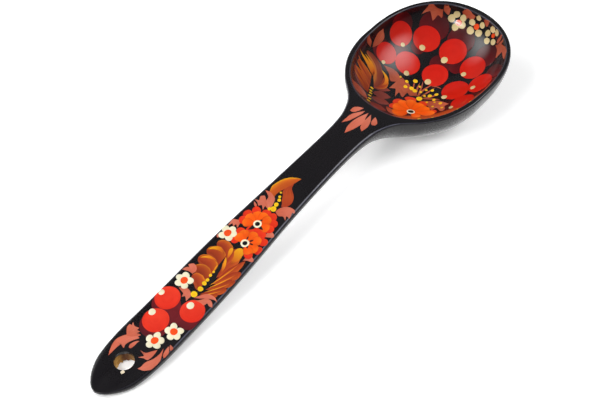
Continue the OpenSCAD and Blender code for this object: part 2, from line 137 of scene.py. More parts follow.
def half_w(x):
    x = np.asarray(x, float)
    handle = curve(WIDTH, x) * leg(np.maximum(0, 1 - x / END_ROUND), 2)
    bowl = BOWL_HALF * leg((x - BOWL_X) / (SPOON_L - BOWL_X), OUTLINE_POWER)
    return np.maximum(END_HALF, np.where(x > BOWL_X, bowl, handle))


def edge_r(x):
    limit = 0.45 * np.minimum(half_w(x), curve(DEPTH, x))
    return np.minimum(curve(EDGE, x), limit)


def rho(x, y):
    """0 in the middle of the hollow and 1 on its rim."""
    reach = np.where(np.asarray(x) < BOWL_X, NECK_REACH, TIP_REACH)
    u = np.abs((x - BOWL_X) / reach)
    v = np.abs(np.asarray(y) / HOLLOW_HALF)
    return (u**RIM_POWER + v**RIM_POWER) ** (1 / RIM_POWER)


def hollow(r):
    """Depth below the rim: a small rounding on the lip, then the steep wall and the floor."""
    u = (1 - np.minimum(r, 1)) * HOLLOW_HALF
    lip = INNER_EDGE - np.sqrt(INNER_EDGE**2 - np.minimum(u, INNER_EDGE) ** 2)
    inner = 1 - np.clip(u - INNER_EDGE, 0, None) / (HOLLOW_HALF - INNER_EDGE)
    wall = (BOWL_DEPTH - INNER_EDGE) * (1 - np.clip(inner, 0, 1) ** 1.5) ** 0.55
    return np.where(u < INNER_EDGE, lip, INNER_EDGE + wall)


def top_z(x, y):
    """Height of the upper face, over the hollow and over the rounded long edges."""
    r = edge_r(x)
    over = np.clip(np.abs(y) - (half_w(x) - r), 0, r * 0.98)
    return curve(DECK, x) - hollow(rho(x, y)) - (r - np.sqrt(r**2 - over**2))


def place(p):
    """Millimetre points to the frame's metres."""
    p = np.asarray(p, float).reshape(-1, 3) * MM
    return p + np.array([BODY_LOW[0], (BODY_LOW[1] + BODY_HIGH[1]) / 2, 0.0])


# ---- mesh helpers
def new_object(name, verts, faces, mat=None):
    mesh = bpy.data.meshes.new(name)
    mesh.from_pydata([tuple(v) for v in verts], [], faces)
    mesh.validate()
    mesh.update()
    obj = bpy.data.objects.new(name, mesh)
    bpy.context.scene.collection.objects.link(obj)
    if mat is not None:
        mesh.materials.append(mat)
    return obj


# Degrees for the smooth shading, and millimetres for weld()
BODY_SMOOTH, SLEEVE_SMOOTH, PAINT_SMOOTH = 32, 40, 30
BODY_NEAR, BODY_SHORT = 0.002, 0.001
PAINT_NEAR, PAINT_SHORT = 0.0003, 0.0002


@contextlib.contextmanager
def editing(mesh):
    """Bmesh of the mesh, written back at the end."""
    bm = bmesh.new()
    bm.from_mesh(mesh)
    yield bm
    bm.to_mesh(mesh)
    bm.free()


def smooth_by_angle(mesh, degrees):
    """Smooth shading with sharp edges where faces meet at more than the angle."""
    limit = math.radians(degrees)
    with editing(mesh) as bm:
        for face in bm.faces:
            face.smooth = True
        for edge in bm.edges:
            edge.smooth = len(edge.link_faces) == 2 and edge.calc_face_angle(0) < limit


def weld(bm, near, short):
    """Join points nearer than near and close up faces without area, in millimetres."""
    bmesh.ops.remove_doubles(bm, verts=bm.verts, dist=near * MM)
    bmesh.ops.dissolve_degenerate(bm, edges=bm.edges, dist=short * MM)


def point_layer(mesh, name, values):
    """A number or a vector for each vertex."""
    values = np.array(values, np.float32)
    kind, field = ("FLOAT", "value") if values.ndim == 1 else ("FLOAT_VECTOR", "vector")
    mesh.attributes.new(name, kind, "POINT").data.foreach_set(field, values.ravel())


def cut(obj, cutter):
    """Take the cutter's shape out of the object for good."""
    mod = obj.modifiers.new("cut", "BOOLEAN")
    mod.operation = "DIFFERENCE"
    mod.solver = "EXACT"
    mod.object = cutter
    bpy.context.view_layer.update()
    result = bpy.data.meshes.new_from_object(obj.evaluated_get(bpy.context.evaluated_depsgraph_get()))
    obj.modifiers.clear()
    obj.data = result
    bpy.data.objects.remove(cutter)


# ---- node helpers
def material(name):
    mat = bpy.data.materials.new(name)
    mat.use_nodes = True
    tree = mat.node_tree
    tree.nodes.clear()
    out = tree.nodes.new("ShaderNodeOutputMaterial")
    shader = tree.nodes.new("ShaderNodeBsdfPrincipled")
    tree.links.new(shader.outputs[0], out.inputs[0])
    return mat, tree, shader


def feed(tree, node, inputs):
    """Link or set each of the node's inputs."""
    for key, value in inputs.items():
        if isinstance(value, bpy.types.NodeSocket):
            tree.links.new(value, node.inputs[key])
        else:
            node.inputs[key].default_value = value


def add(tree, kind, inputs=None, **props):
    """New node with its properties set and its inputs linked or set."""
    node = tree.nodes.new(kind)
    for key, value in props.items():
        setattr(node, key, value)
    feed(tree, node, inputs or {})
    return node


def ramp(tree, fac, stops):
    node = add(tree, "ShaderNodeValToRGB", {0: fac})
    elements = node.color_ramp.elements
    while len(elements) < len(stops):
        elements.new(0.5)
    for element, (position, colour) in zip(elements, stops):
        element.position = position
        element.color = (*colour, 1)
    return node.outputs["Color"]


def noise(tree, vector, scale, detail=2.0, rough=0.5):
    inputs = {"Vector": vector, "Scale": scale, "Detail": detail, "Roughness": rough}
    return add(tree, "ShaderNodeTexNoise", inputs).outputs["Fac"]


def math_node(tree, operation, a, b=0.0, clamp=False):
    node = add(tree, "ShaderNodeMath", {0: a, 1: b}, operation=operation, use_clamp=clamp)
    return node.outputs[0]


def times(tree, a, b):
    return math_node(tree, "MULTIPLY", a, b)


def mix(tree, fac, a, b, blend="MIX"):
    node = add(tree, "ShaderNodeMix", data_type="RGBA", blend_type=blend)
    colours = [c if isinstance(c, bpy.types.NodeSocket) else (*c, 1) for c in (a, b)]
    feed(tree, node, {0: fac, 6: colours[0], 7: colours[1]})
    return node.outputs[2]


def spread(tree, value, low, high):
    """Map 0..1 to low..high."""
    node = add(tree, "ShaderNodeMapRange", {"Value": value, "To Min": low, "To Max": high})
    return node.outputs["Result"]


def bump(tree, height, distance, strength=1.0, normal=None):
    inputs = {"Height": height, "Distance": distance, "Strength": strength}
    if normal is not None:
        inputs["Normal"] = normal
    return add(tree, "ShaderNodeBump", inputs).outputs["Normal"]


def stretched(tree, scale=(1, 1, 1)):
    """Object coordinates, in metres times the scale."""
    coords = add(tree, "ShaderNodeTexCoord").outputs["Object"]
    return add(tree, "ShaderNodeMapping", {"Vector": coords, "Scale": scale}).outputs["Vector"]


def attribute(tree, name, output="Fac"):
    return add(tree, "ShaderNodeAttribute", attribute_name=name).outputs[output]


def srgb(r, g, b):
    """0..255 display colour to linear."""
    return tuple(((c / 255 + 0.055) / 1.055) ** 2.4 if c > 10 else c / 255 / 12.92 for c in (r, g, b))


# ---- materials
COAT = {"Coat Weight": 0.9, "Coat IOR": 1.34, "Specular IOR Level": 0.1}
CARVE_SCALE, CARVE_DEPTH = 55.0, 0.35 * MM
# Scales of the noise, in waves to the metre, and of the grain along and across the spoon
PATCHES, SCUFFS, SPECKS, SKIN, CLOUDS = 70.0, 160.0, 1500.0, 900.0, 260.0
COVERED_GRAIN, BARE_GRAIN = (30, 620, 620), (90, 900, 900)
BLACK_COOL, BLACK_WARM = (0.0040, 0.0036, 0.0052), (0.0076, 0.0068, 0.0090)
BLACK_GRAIN = (0.012, 0.009, 0.009)
# Lacquer rubbed thin with a painted highlight on it, bare wood inside the hole, fresh wood in a chip,
# and wood that the drill burnt, which also paints shade on the hole's wall
RUBBED_HIGHLIGHT = (0.24, 0.24, 0.32)
LIME_WOOD = [(0.25, srgb(178, 116, 38)), (0.55, srgb(216, 164, 76)), (0.8, srgb(246, 220, 150))]
PALE_WOOD = [(0.25, srgb(206, 186, 150)), (0.7, srgb(240, 230, 206))]
BURNT_AND_SHADE = srgb(78, 36, 12)


def carved(tree):
    """The shallow waves that the knife left, which also show in the clear coat."""
    return bump(tree, noise(tree, stretched(tree), CARVE_SCALE, 1.0), CARVE_DEPTH)


def lacquer_material():
    mat, tree, shader = material("black_lacquer")
    plain = stretched(tree)
    grain = noise(tree, stretched(tree, COVERED_GRAIN), 1.0, 4.0, 0.6)
    patches = noise(tree, plain, PATCHES, 3.0)
    tint = mix(tree, patches, BLACK_COOL, BLACK_WARM)
    tint = mix(tree, times(tree, grain, 0.35), tint, BLACK_GRAIN)
    scuffs = spread(tree, noise(tree, plain, SCUFFS, 3.0), 0.3, 1.0)
    # Painted highlight: a pale blue-grey line on the rounded edges and inside the lip, where the lacquer is
    # also rubbed
    tint = mix(tree, times(tree, attribute(tree, "wear_and_highlight"), scuffs), tint, RUBBED_HIGHLIGHT)
    speck = noise(tree, plain, SPECKS)
    rough = spread(tree, math_node(tree, "ADD", times(tree, patches, 0.6),
                                   times(tree, speck, 0.4)), 0.20, 0.36)
    carve = carved(tree)
    fine = bump(tree, grain, 0.01 * MM, 0.5, carve)
    skin = bump(tree, noise(tree, plain, SKIN), 0.008 * MM, 0.5, fine)
    feed(tree, shader, {**COAT, "Base Color": tint, "Roughness": rough, "Normal": skin,
                        "Coat Roughness": 0.07, "Coat Normal": carve})
    return mat


def wood_material(name, stops):
    """Bare limewood, burnt by the drill and darkened as painted shade as far as its attribute says."""
    mat, tree, shader = material(name)
    grain = noise(tree, stretched(tree, BARE_GRAIN), 1.0, 4.0, 0.6)
    tint = mix(tree, attribute(tree, "scorch_and_shade"), ramp(tree, grain, stops), BURNT_AND_SHADE)
    feed(tree, shader, {"Base Color": tint, "Roughness": spread(tree, grain, 0.55, 0.75),
                        "Normal": bump(tree, grain, 0.1 * MM)})
    return mat


def paint_material(name, stops, axis="along", streak=0.25, bristle=9.0, dark=0.72, vary=0.08,
                   rim=0.0):
    """Oil paint laid with a brush under the clear coat.

    stops colour a stroke from its start to its end, or from edge to edge with axis "across"; on
    a dab the same two axes are the shading's direction and the way out from the middle. streak
    is how much the bristles show, bristle how many there are, dark the tone of the cloudy
    patches, vary how much the strokes differ from each other and rim how much a stroke darkens
    along its edges.
    """
    mat, tree, shader = material(name)
    split = add(tree, "ShaderNodeSeparateXYZ", {0: attribute(tree, "brush", "Vector")})
    along, across, own = split.outputs
    bristles = add(tree, "ShaderNodeCombineXYZ", {
        0: times(tree, along, 1.6),
        1: times(tree, across, bristle),
        2: times(tree, own, 40.0),
    }).outputs[0]
    lines = noise(tree, bristles, 1.0, 3.0, 0.6)
    driver = {"along": along, "across": across}[axis]
    wobble = times(tree, math_node(tree, "SUBTRACT", lines, 0.5), 0.5)
    colour = ramp(tree, math_node(tree, "ADD", driver, wobble, clamp=True), stops)
    tone = spread(tree, lines, 1 - streak, 1 + streak * 0.4)
    tone = times(tree, tone, spread(tree, own, 1 - vary, 1 + vary * 0.5))
    if rim:
        side = math_node(tree, "ABSOLUTE", math_node(tree, "SUBTRACT", across, 0.5))
        side = math_node(tree, "POWER", times(tree, side, 2.0), 3.0)
        tone = times(tree, tone, spread(tree, side, 1.0, 1 - rim))
    shade = add(tree, "ShaderNodeCombineXYZ", {0: tone, 1: tone, 2: tone}).outputs[0]
    colour = mix(tree, 1.0, colour, shade, "MULTIPLY")
    cloud = spread(tree, noise(tree, stretched(tree), CLOUDS), 0.0, 0.16)
    colour = mix(tree, cloud, colour, tuple(c * dark * 0.5 for c in stops[0][1]))
    feed(tree, shader, {**COAT, "Base Color": colour, "Roughness": spread(tree, lines, 0.32, 0.50),
                        "Normal": bump(tree, lines, 0.03 * MM, 0.8),
                        "Coat Roughness": 0.08, "Coat Normal": carved(tree)})
    return mat


# ---- the body
# Distances in from the rim where the rings of the hollow lie, close together on the lip
RINGS = [0.12, 0.25, 0.37, 0.48, 0.57, 0.64, 0.68, 0.70, 0.71, 0.73, 0.77, 0.84, 0.95, 1.12, 1.4,
         1.75, 2.2, 2.75, 3.4, 4.2, 5.1, 6.1, 7.3, 8.7, 10.2, 11.8, 13.5, 15.3, 17.2, 19.2, 21.3,
         23.5, 25.7, 27.9, 30.1]
# Points on half a cross section, and cross sections along the spoon
KEEL_LINES, EDGE_LINES, TOP_LINES = 25, 9, 7
END_STEPS, HANDLE_STEPS, RIM_STEPS = 25, 86, 37
TIP_ANGLES = [20, 40, 55, 68, 78, 85, 90]


def section(x, inner):
    """Half cross sections, left then right, each from the keel out and over to y = inner."""
    w, deck, r = float(half_w(x)), float(curve(DECK, x)), float(edge_r(x))
    depth = float(curve(DEPTH, x))
    power = 2 / float(curve(BELLY, x))
    half = []
    for a in np.radians(np.linspace(0, 90, KEEL_LINES)):
        half.append((w * math.sin(a) ** power, deck - r - (depth - r) * math.cos(a) ** power))
    for a in np.radians(np.linspace(0, 90, EDGE_LINES)[1:]):
        half.append((w - r + r * math.cos(a), deck - r + r * math.sin(a)))
    for t in np.linspace(0, 1, TOP_LINES)[1:]:
        half.append(((w - r) * (1 - t) + inner * t, deck))
    return [(x, s * y, z) for s in (1, -1) for y, z in half]


def rim_half(x, reach):
    """Half the width of the hollow's rim at x, reach being its length on that side."""
    return HOLLOW_HALF * float(leg((x - BOWL_X) / reach, RIM_POWER))


def body_mesh():
    """Cross sections along the spoon, open over the hollow, and the hollow let in as rings."""
    quarter = np.radians(np.linspace(0, 90, RIM_STEPS))
    neck = [BOWL_X - NECK_REACH * math.cos(a) ** (2 / RIM_POWER) for a in quarter]
    tip = [BOWL_X + TIP_REACH * math.sin(a) ** (2 / RIM_POWER) for a in quarter[1:]]
    start = [END_ROUND * (1 - math.cos(a)) for a in np.radians(np.linspace(0, 90, END_STEPS))]
    handle = list(np.linspace(END_ROUND, HOLLOW_X0, HANDLE_STEPS)[1:-1])
    end = [SPOON_L - RIM_TIP * math.cos(a) for a in np.radians(TIP_ANGLES)]
    stations = [(x, 0.0) for x in start + handle]
    stations += [(x, rim_half(x, NECK_REACH)) for x in neck] + [(x, rim_half(x, TIP_REACH)) for x in tip]
    stations += [(x, 0.0) for x in end]
    verts, faces = [], []
    for x, inner in stations:
        verts.extend(section(x, inner))
    half = len(verts) // len(stations) // 2
    n = 2 * half
    for i in range(len(stations) - 1):
        for side in (0, 1):
            for j in range(half - 1):
                a = i * n + side * half + j
                quad = (a, a + 1, a + 1 + n, a + n)
                faces.append(quad if side else quad[::-1])
    for i in (0, len(stations) - 1):
        left = list(range(i * n, i * n + half))
        right = list(range(i * n + half, i * n + n))
        ring = left + right[::-1]
        faces.append(tuple(ring[::-1] if i else ring))
    # the hollow: rings that shrink the rim towards the middle
    first = len(start) + len(handle)
    last = first + len(neck) + len(tip) - 1
    rim = [i * n + half - 1 for i in range(first, last + 1)]
    rim += [i * n + n - 1 for i in range(last - 1, first, -1)]
    rim_xy = np.array([verts[i][:2] for i in rim])
    previous = rim
    for u in RINGS:
        r = 1 - u / HOLLOW_HALF
        xy = np.array([BOWL_X, 0]) + (rim_xy - [BOWL_X, 0]) * r
        z = curve(DECK, xy[:, 0]) - hollow(np.full(len(xy), r))
        ring = list(range(len(verts), len(verts) + len(xy)))
        verts.extend(map(tuple, np.column_stack([xy, z])))
        for k in range(len(ring)):
            m = (k + 1) % len(ring)
            faces.append((previous[k], ring[k], ring[m], previous[m]))
        previous = ring
    middle = len(verts)
    verts.append((BOWL_X, 0.0, float(curve(DECK, BOWL_X)) - BOWL_DEPTH))
    for k in range(len(previous)):
        faces.append((previous[k], middle, previous[(k + 1) % len(previous)]))
    return verts, faces


HOLE_AT = Vector(HANGING["pos_m"])
HOLE_AXIS = Vector(HANGING["axis"]).normalized()
HOLE_R = HANGING["dims"]["r_mm"] * MM
HOLE_TURN = HOLE_AXIS.to_track_quat("Z", "Y").to_matrix()
HOLE_STEPS = 96
HOLE_ANGLES = [2 * math.pi * k / HOLE_STEPS for k in range(HOLE_STEPS)]
SLEEVE = 0.12 * MM
DRILL_REACH = 12 * MM
DRILL_CORE = 0.0001 * MM


def tube_faces(n, inward=False):
    """Faces of a closed ring round the hole: HOLE_STEPS sections of n points each."""
    faces = []
    for k in range(HOLE_STEPS):
        m = (k + 1) % HOLE_STEPS
        for j in range(n):
            i = (j + 1) % n
            a, b, c, d = k * n + j, m * n + j, m * n + i, k * n + i
            faces.append((a, d, c, b) if inward else (a, b, c, d))
    return faces


def drill_mesh(radius):
    """Cylinder round the hanging hole's axis, long enough to go right through."""
    profile = [(DRILL_CORE, -DRILL_REACH), (radius, -DRILL_REACH),
               (radius, DRILL_REACH), (DRILL_CORE, DRILL_REACH)]
    verts = [HOLE_AT + HOLE_TURN @ Vector((r * math.cos(a), r * math.sin(a), h))
             for a in HOLE_ANGLES for r, h in profile]
    return new_object("drill", verts, tube_faces(len(profile)))


verts, faces = body_mesh()
body = new_object("spoon_body_carved", place(verts), faces)
with editing(body.data) as bm:
    weld(bm, BODY_NEAR, BODY_SHORT)
    bmesh.ops.recalc_face_normals(bm, faces=bm.faces)
cut(body, drill_mesh(HOLE_R + SLEEVE))
smooth_by_angle(body.data, BODY_SMOOTH)

# Where the lacquer is rubbed and a painted highlight line lies on it: the place and the width of the line
# as shares of the rounded edge, and in millimetres in from the rim; how strong it is there; and where it
# begins on the handle
EDGE_LINE, EDGE_LINE_W = 0.6, 0.1
LIP_LINE, LIP_LINE_W = 0.4, 0.2
HANDLE_WEAR_HIGHLIGHT, BOWL_WEAR_HIGHLIGHT, LIP_WEAR_HIGHLIGHT, END_WEAR_HIGHLIGHT = 0.8, 0.35, 0.35, 0.1
WEAR_HIGHLIGHT_X, WEAR_HIGHLIGHT_FADE = 22, 20


def rub_and_highlight_edges(mesh):
    """Mark where the lacquer is rubbed, with a painted highlight line there: the long edges and inside the
    lip.
    """
    points = np.empty(len(mesh.vertices) * 3)
    mesh.vertices.foreach_get("co", points)
    x, y, z = (points.reshape(-1, 3) - place([(0, 0, 0)])[0]).T / MM
    deck = curve(DECK, x)
    round_part = 1 + (np.abs(y) - half_w(x)) / edge_r(x)
    outer = np.exp(-(((round_part - EDGE_LINE) / EDGE_LINE_W) ** 2)) * (z > deck - edge_r(x))
    on_handle = np.clip((x - WEAR_HIGHLIGHT_X) / WEAR_HIGHLIGHT_FADE, END_WEAR_HIGHLIGHT, HANDLE_WEAR_HIGHLIGHT)
    outer *= np.where(x > HOLLOW_X0, BOWL_WEAR_HIGHLIGHT, on_handle)
    from_rim = (1 - rho(x, y)) * HOLLOW_HALF
    inner = np.exp(-(((from_rim - LIP_LINE) / LIP_LINE_W) ** 2)) * (z > deck - 1)
    point_layer(mesh, "wear_and_highlight", np.maximum(outer, LIP_WEAR_HIGHLIGHT * inner))


rub_and_highlight_edges(body.data)

BURR = 2.0 * MM
SLEEVE_ROWS = 9
# The side of the hole where the drill tore the fibres, the side that it hardly burnt and that is painted
# as the lit side, and the side where most lacquer has run in
BURR_SIDE = Vector((0.25, 0.97, 0.0))
PALE_LIT_SIDE = Vector((-0.65, 0.76, 0.0))
RUN_SIDE = Vector((0.76, 0.65, 0.0))


def sleeve_mesh(name, mat):
    """The drilled wall: a thin ring of bare wood, let into the lacquered body.

    Lacquer has run a little way in from the upper face, so the wood starts at a ragged line
    below it, and on one side the drill has torn the fibres inwards as it came out.
    """
    centre = HOLE_AT - Vector(place([(0, 0, 0)])[0])
    verts, scorch_and_shade = [], []
    for a in HOLE_ANGLES:
        spoke = HOLE_TURN @ Vector((math.cos(a), math.sin(a), 0))
        at = (centre + spoke * HOLE_R) / MM
        deck = float(curve(DECK, at.x))
        keel = deck - float(curve(DEPTH, at.x))
        # run and worn are millimetres in from the upper and the lower face; ragged is a share
        run = 0.8 + max(0.0, spoke.dot(RUN_SIDE)) + 0.2 * math.sin(5 * a + 2) + 0.1 * math.sin(11 * a)
        worn = 0.18 + 0.06 * math.sin(2 * a + 1) + 0.04 * math.sin(5 * a)
        ragged = 0.8 + 0.14 * math.sin(7 * a) + 0.10 * math.sin(13 * a + 1)
        burr = BURR * max(0.0, spoke.dot(BURR_SIDE)) ** 0.8 * ragged
        # How dark the wall is: partly drill burn, partly painted shade, palest on the lit side
        toward_lit = spoke.dot(PALE_LIT_SIDE)
        burn_and_shade = 0.95 * math.exp(-(((toward_lit - 0.1) / 0.7) ** 2)) + 0.6 * max(0.0, -toward_lit)
        scorch_and_shade += [burn_and_shade] * (SLEEVE_ROWS + 2)
        low, high = (keel + worn - at.z) * MM, (deck - run - at.z) * MM
        for t in np.linspace(0, 1, SLEEVE_ROWS):
            r = HOLE_R - burr * (1 - t) ** 1.6
            verts.append(centre + spoke * r + HOLE_AXIS * (low + (high - low) * t))
        for h in (high, low):
            verts.append(centre + spoke * (HOLE_R + SLEEVE * 1.5) + HOLE_AXIS * h)
    faces = tube_faces(SLEEVE_ROWS + 2, inward=True)
    obj = new_object(name, place([v / MM for v in verts]), faces, mat)
    point_layer(obj.data, "scorch_and_shade", scorch_and_shade)
    return obj


# ---- brush work
# Millimetres: the thinnest film, each coat's place above it and each stroke's; how deep a film's
# edge is sunk; the reach of its soft stop. And the share of the rounded edge that is painted.
FILM = 0.03
LEVEL = 0.014
STEP = 0.0015
BURIED = 0.03
SOFT = 0.6
ROUND_SHARE = 0.75
SLOPE_STEP = 0.04


def on_surface(xy, lift):
    """Points of the painted face lifted along its normal, in millimetres.

    Paint stops part of the way round the rounded long edges.
    """
    x, y = xy[..., 0], xy[..., 1]
    limit = half_w(x) - (1 - ROUND_SHARE) * edge_r(x)
    over = np.maximum(np.abs(y) - (limit - SOFT), 0)
    y = np.where(over > 0, np.sign(y) * (limit - SOFT * np.exp(-over / SOFT)), y)
    h = SLOPE_STEP
    dx = (top_z(x + h, y) - top_z(x - h, y)) / (2 * h)
    dy = (top_z(x, y + h) - top_z(x, y - h)) / (2 * h)
    normal = np.stack([-dx, -dy, np.ones_like(dx)], -1)
    normal /= np.linalg.norm(normal, axis=-1, keepdims=True)
    return np.stack([x, y, top_z(x, y)], -1) + normal * lift[..., None]


def brush_width(t, kind):
    """Share of the full width at t along the stroke. A drop starts round and a fan ends round."""
    if kind == "leaf":
        return np.sin(math.pi * t) ** 0.9
    if kind == "petal":
        return (1 - np.abs(2 * t - 1) ** 2.6) ** (1 / 2.2)
    if kind == "fan":
        t = 1 - t
    head = 0.3
    round_end = np.sqrt(np.clip(t / head * (2 - t / head), 0, 1))
    taper = 1 - (np.clip(t - head, 0, None) / (1 - head)) ** 1.7
    return np.where(t < head, round_end, taper)


def knots_along(p, power=1.0):
    """Distances along the points, from 0 to 1."""
    steps = np.linalg.norm(np.diff(p, axis=0), axis=1) ** power
    knots = np.concatenate([[0], np.cumsum(steps)])
    return knots / knots[-1]


def centre_line(points, t):
    """Line through two points, or a smooth one through three or four."""
    p = np.array(points, float)
    if len(p) == 2:
        return p[0] + (p[1] - p[0]) * t[:, None]
    knots = knots_along(p)
    return np.stack([np.polyval(np.polyfit(knots, p[:, k], len(p) - 1), t) for k in (0, 1)], -1)


def edge_line(points, t):
    """Rounded line through the points of a leaf's edge."""
    p = np.array(points, float)
    knots = knots_along(p, 0.6)
    return np.stack([curve(list(zip(knots, p[:, k])), t) for k in (0, 1)], -1)


# Millimetres between the points of a dab; points along a stroke; the least share of its width,
# at its ends; and where its points lie from edge to edge
DAB_GRID = 0.55
STROKE_STEPS = 24
THINNEST = 0.004
ACROSS = np.array([0, 0.01, 0.13, 0.32, 0.5, 0.68, 0.87, 0.99, 1])


class Paint:
    """Films of paint that make one piece, each laid just over the one before it.

    level is the coat's place in the pile: a higher one lies over the lower ones.
    """

    def __init__(self, level):
        self.verts, self.faces, self.brush = [], [], []
        self.lift = FILM + LEVEL * level
        self.count = 0

    def sheet(self, xy, height, brush):
        """A grid of points; height is 0 at the sheet's edge and 1 where it is full."""
        thick = self.lift + STEP * self.count
        self.count += 1
        points = on_surface(xy, (thick + BURIED) * height - BURIED)
        rows, cols = points.shape[:2]
        first = len(self.verts)
        self.verts.extend(points.reshape(-1, 3))
        self.brush.extend(brush.reshape(-1, 3))
        return first, rows, cols

    def ribbon(self, xy, t):
        """A stroke from rows of points; each row runs from its right-hand to its left-hand edge."""
        height = np.where((ACROSS > 0) & (ACROSS < 1), 1.0, 0.0)[None, :] * np.ones((len(t), 1))
        height[0], height[-1] = 0, 0
        own = random_numbers.uniform()
        brush = np.stack(np.broadcast_arrays(t[:, None], ACROSS[None, :], own), -1)
        first, rows, cols = self.sheet(xy, height, brush)
        for i in range(rows - 1):
            for j in range(cols - 1):
                a = first + i * cols + j
                self.faces.append((a, a + cols, a + cols + 1, a + 1))

    def stroke(self, points, width, kind="leaf", rough=0.05):
        """One brush stroke along a centre line."""
        t = (1 - np.cos(np.linspace(0, math.pi, STROKE_STEPS))) / 2
        line = centre_line(points, t)
        along = np.gradient(line, t, axis=0)
        unit = np.stack([-along[:, 1], along[:, 0]], -1)
        unit /= np.linalg.norm(unit, axis=1, keepdims=True) + 1e-9
        half = width / 2 * np.maximum(brush_width(t, kind), THINNEST)
        phase = random_numbers.uniform(0, 6.28, 2)
        right, left = [half * (1 + rough * np.sin(9 * t + p) * np.sin(23 * t + 2 * p)) for p in phase]
        offset = left[:, None] * ACROSS - right[:, None] * (1 - ACROSS)
        self.ribbon(line[:, None, :] + unit[:, None, :] * offset[..., None], t)
        return self

    def blade(self, edge, other):
        """A leaf between two edges. The other one leaves out the end points that they share."""
        other = [edge[0], *other, edge[-1]]
        t = (1 - np.cos(np.linspace(0, math.pi, 6 * max(len(edge), len(other)) + 2))) / 2
        a, b = edge_line(edge, t), edge_line(other, t)
        ring = np.concatenate([a, b[::-1]])
        turn = np.roll(ring, -1, axis=0)
        if np.sum(ring[:, 0] * turn[:, 1] - ring[:, 1] * turn[:, 0]) < 0:
            a, b = b, a
        self.ribbon(a[:, None, :] * (1 - ACROSS[:, None]) + b[:, None, :] * ACROSS[:, None], t)

    def disc(self, at, radius, squash=1.0, turn=0.0, rough=0.02, tone=(1.0, 0.0)):
        """A round dab, its radius measured over the face. tone is the shading's direction."""
        n = max(20, int(2 * math.pi * radius / DAB_GRID))
        ring = np.append(np.linspace(0, 0.985, max(2, int(radius / DAB_GRID)) + 1)[1:], 1.0)
        a = np.arange(n) * 2 * math.pi / n
        phase = random_numbers.uniform(0, 6.28, 3)
        wave = 1 + rough * (np.sin(2 * a + phase[0]) + 0.6 * np.sin(3 * a + phase[1]))
        own_turn = a - math.radians(turn)
        oval = 1 / np.sqrt(np.cos(own_turn) ** 2 + (np.sin(own_turn) / squash) ** 2)
        out = np.stack([np.cos(a), np.sin(a)], -1)
        plan, rows_xy, done = np.zeros(n), [], 0.0
        for r in ring:
            step = (r - done) * radius * oval * wave
            here = np.array(at, float) + plan[:, None] * out
            ahead = here + out * 0.1
            rise = (top_z(ahead[:, 0], ahead[:, 1]) - top_z(here[:, 0], here[:, 1])) / 0.1
            plan = plan + step / np.sqrt(1 + rise**2)
            rows_xy.append(np.array(at, float) + plan[:, None] * out)
            done = r
        xy = np.array(rows_xy)
        own = random_numbers.uniform()
        shade = 0.5 + 0.5 * ring[:, None] * (out @ np.array(tone))[None, :]
        brush = np.stack(np.broadcast_arrays(np.clip(shade, 0, 1), ring[:, None], own), -1)
        height = np.where(ring > 0.995, 0.0, 1.0)[:, None] * np.ones((1, n))
        first, rows, cols = self.sheet(xy, height, brush)
        middle = len(self.verts)
        lift = self.lift + STEP * (self.count - 1)
        self.verts.append(on_surface(np.array([at], float), np.array([lift]))[0])
        self.brush.append((0.5, 0.0, own))
        for j in range(n):
            k = (j + 1) % n
            self.faces.append((middle, first + j, first + k))
            for i in range(rows - 1):
                b = first + i * cols
                self.faces.append((b + j, b + cols + j, b + cols + k, b + k))
        return self

    def strokes(self, rows, kind="leaf"):
        """Rows of (points, width), or (points, width, kind) where a stroke has its own kind."""
        for points, width, *own_kind in rows:
            self.stroke(points, width, *(own_kind or [kind]))
        return self

    def blades(self, rows):
        for row in rows:
            self.blade(*row)
        return self

    def discs(self, rows, radius=None, **options):
        """Rows of (x, y, radius), or of (x, y) where all have the same radius."""
        for row in rows:
            self.disc(row[:2], radius or row[2], **options)
        return self

    def piece(self, name, paint, *nodes):
        """Make the object from the paint's material, in place of the CAD's nodes."""
        mat, slot = paint
        obj = new_object(name, place(self.verts), self.faces, mat)
        point_layer(obj.data, "brush", self.brush)
        with editing(obj.data) as bm:
            weld(bm, PAINT_NEAR, PAINT_SHORT)
        smooth_by_angle(obj.data, PAINT_SMOOTH)
        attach(obj, "root")
        if nodes:
            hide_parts(*nodes)


# ---- colours
def oil(slot, name, *stops, **look):
    """Material and slot of a paint, from stops of (place, red, green, blue) in display colours."""
    return paint_material(name, [(at, srgb(*colour)) for at, *colour in stops], **look), slot


lacquer = lacquer_material()
terracotta = oil("terracotta_paint", "terracotta", (0, 206, 100, 74), (1, 218, 122, 98), streak=0.2)
# The bowl's copies of the paints are darker than the handle's: painted shade of the hollow
bowl_terracotta_shaded = oil("terracotta_paint", "terracotta_bowl_shaded", (0, 166, 70, 44), (1, 200, 102, 74),
                      streak=0.25)
cream = oil("cream_paint", "cream", (0, 246, 241, 214), (1, 236, 226, 190), streak=0.08, dark=0.9)
# Cream darkened for the bowl: painted shade
cream_bowl_shaded = oil("cream_paint", "cream_bowl_shaded", (0, 232, 210, 158), (1, 206, 188, 128), streak=0.12, dark=0.9)
berry = oil("berry_red_paint", "berry_red", (0, 222, 42, 24), (1, 236, 62, 38), streak=0.1, bristle=3)
# Berry red darkened for the bowl: painted shade
bowl_berry_shaded = oil("berry_red_paint", "berry_red_bowl_shaded", (0, 206, 22, 6), (1, 212, 34, 16), streak=0.1,
                 bristle=3)
maroon = oil("maroon_paint", "maroon", (0, 112, 24, 32), (0.6, 112, 24, 32), (1, 88, 20, 28),
             streak=0.35)
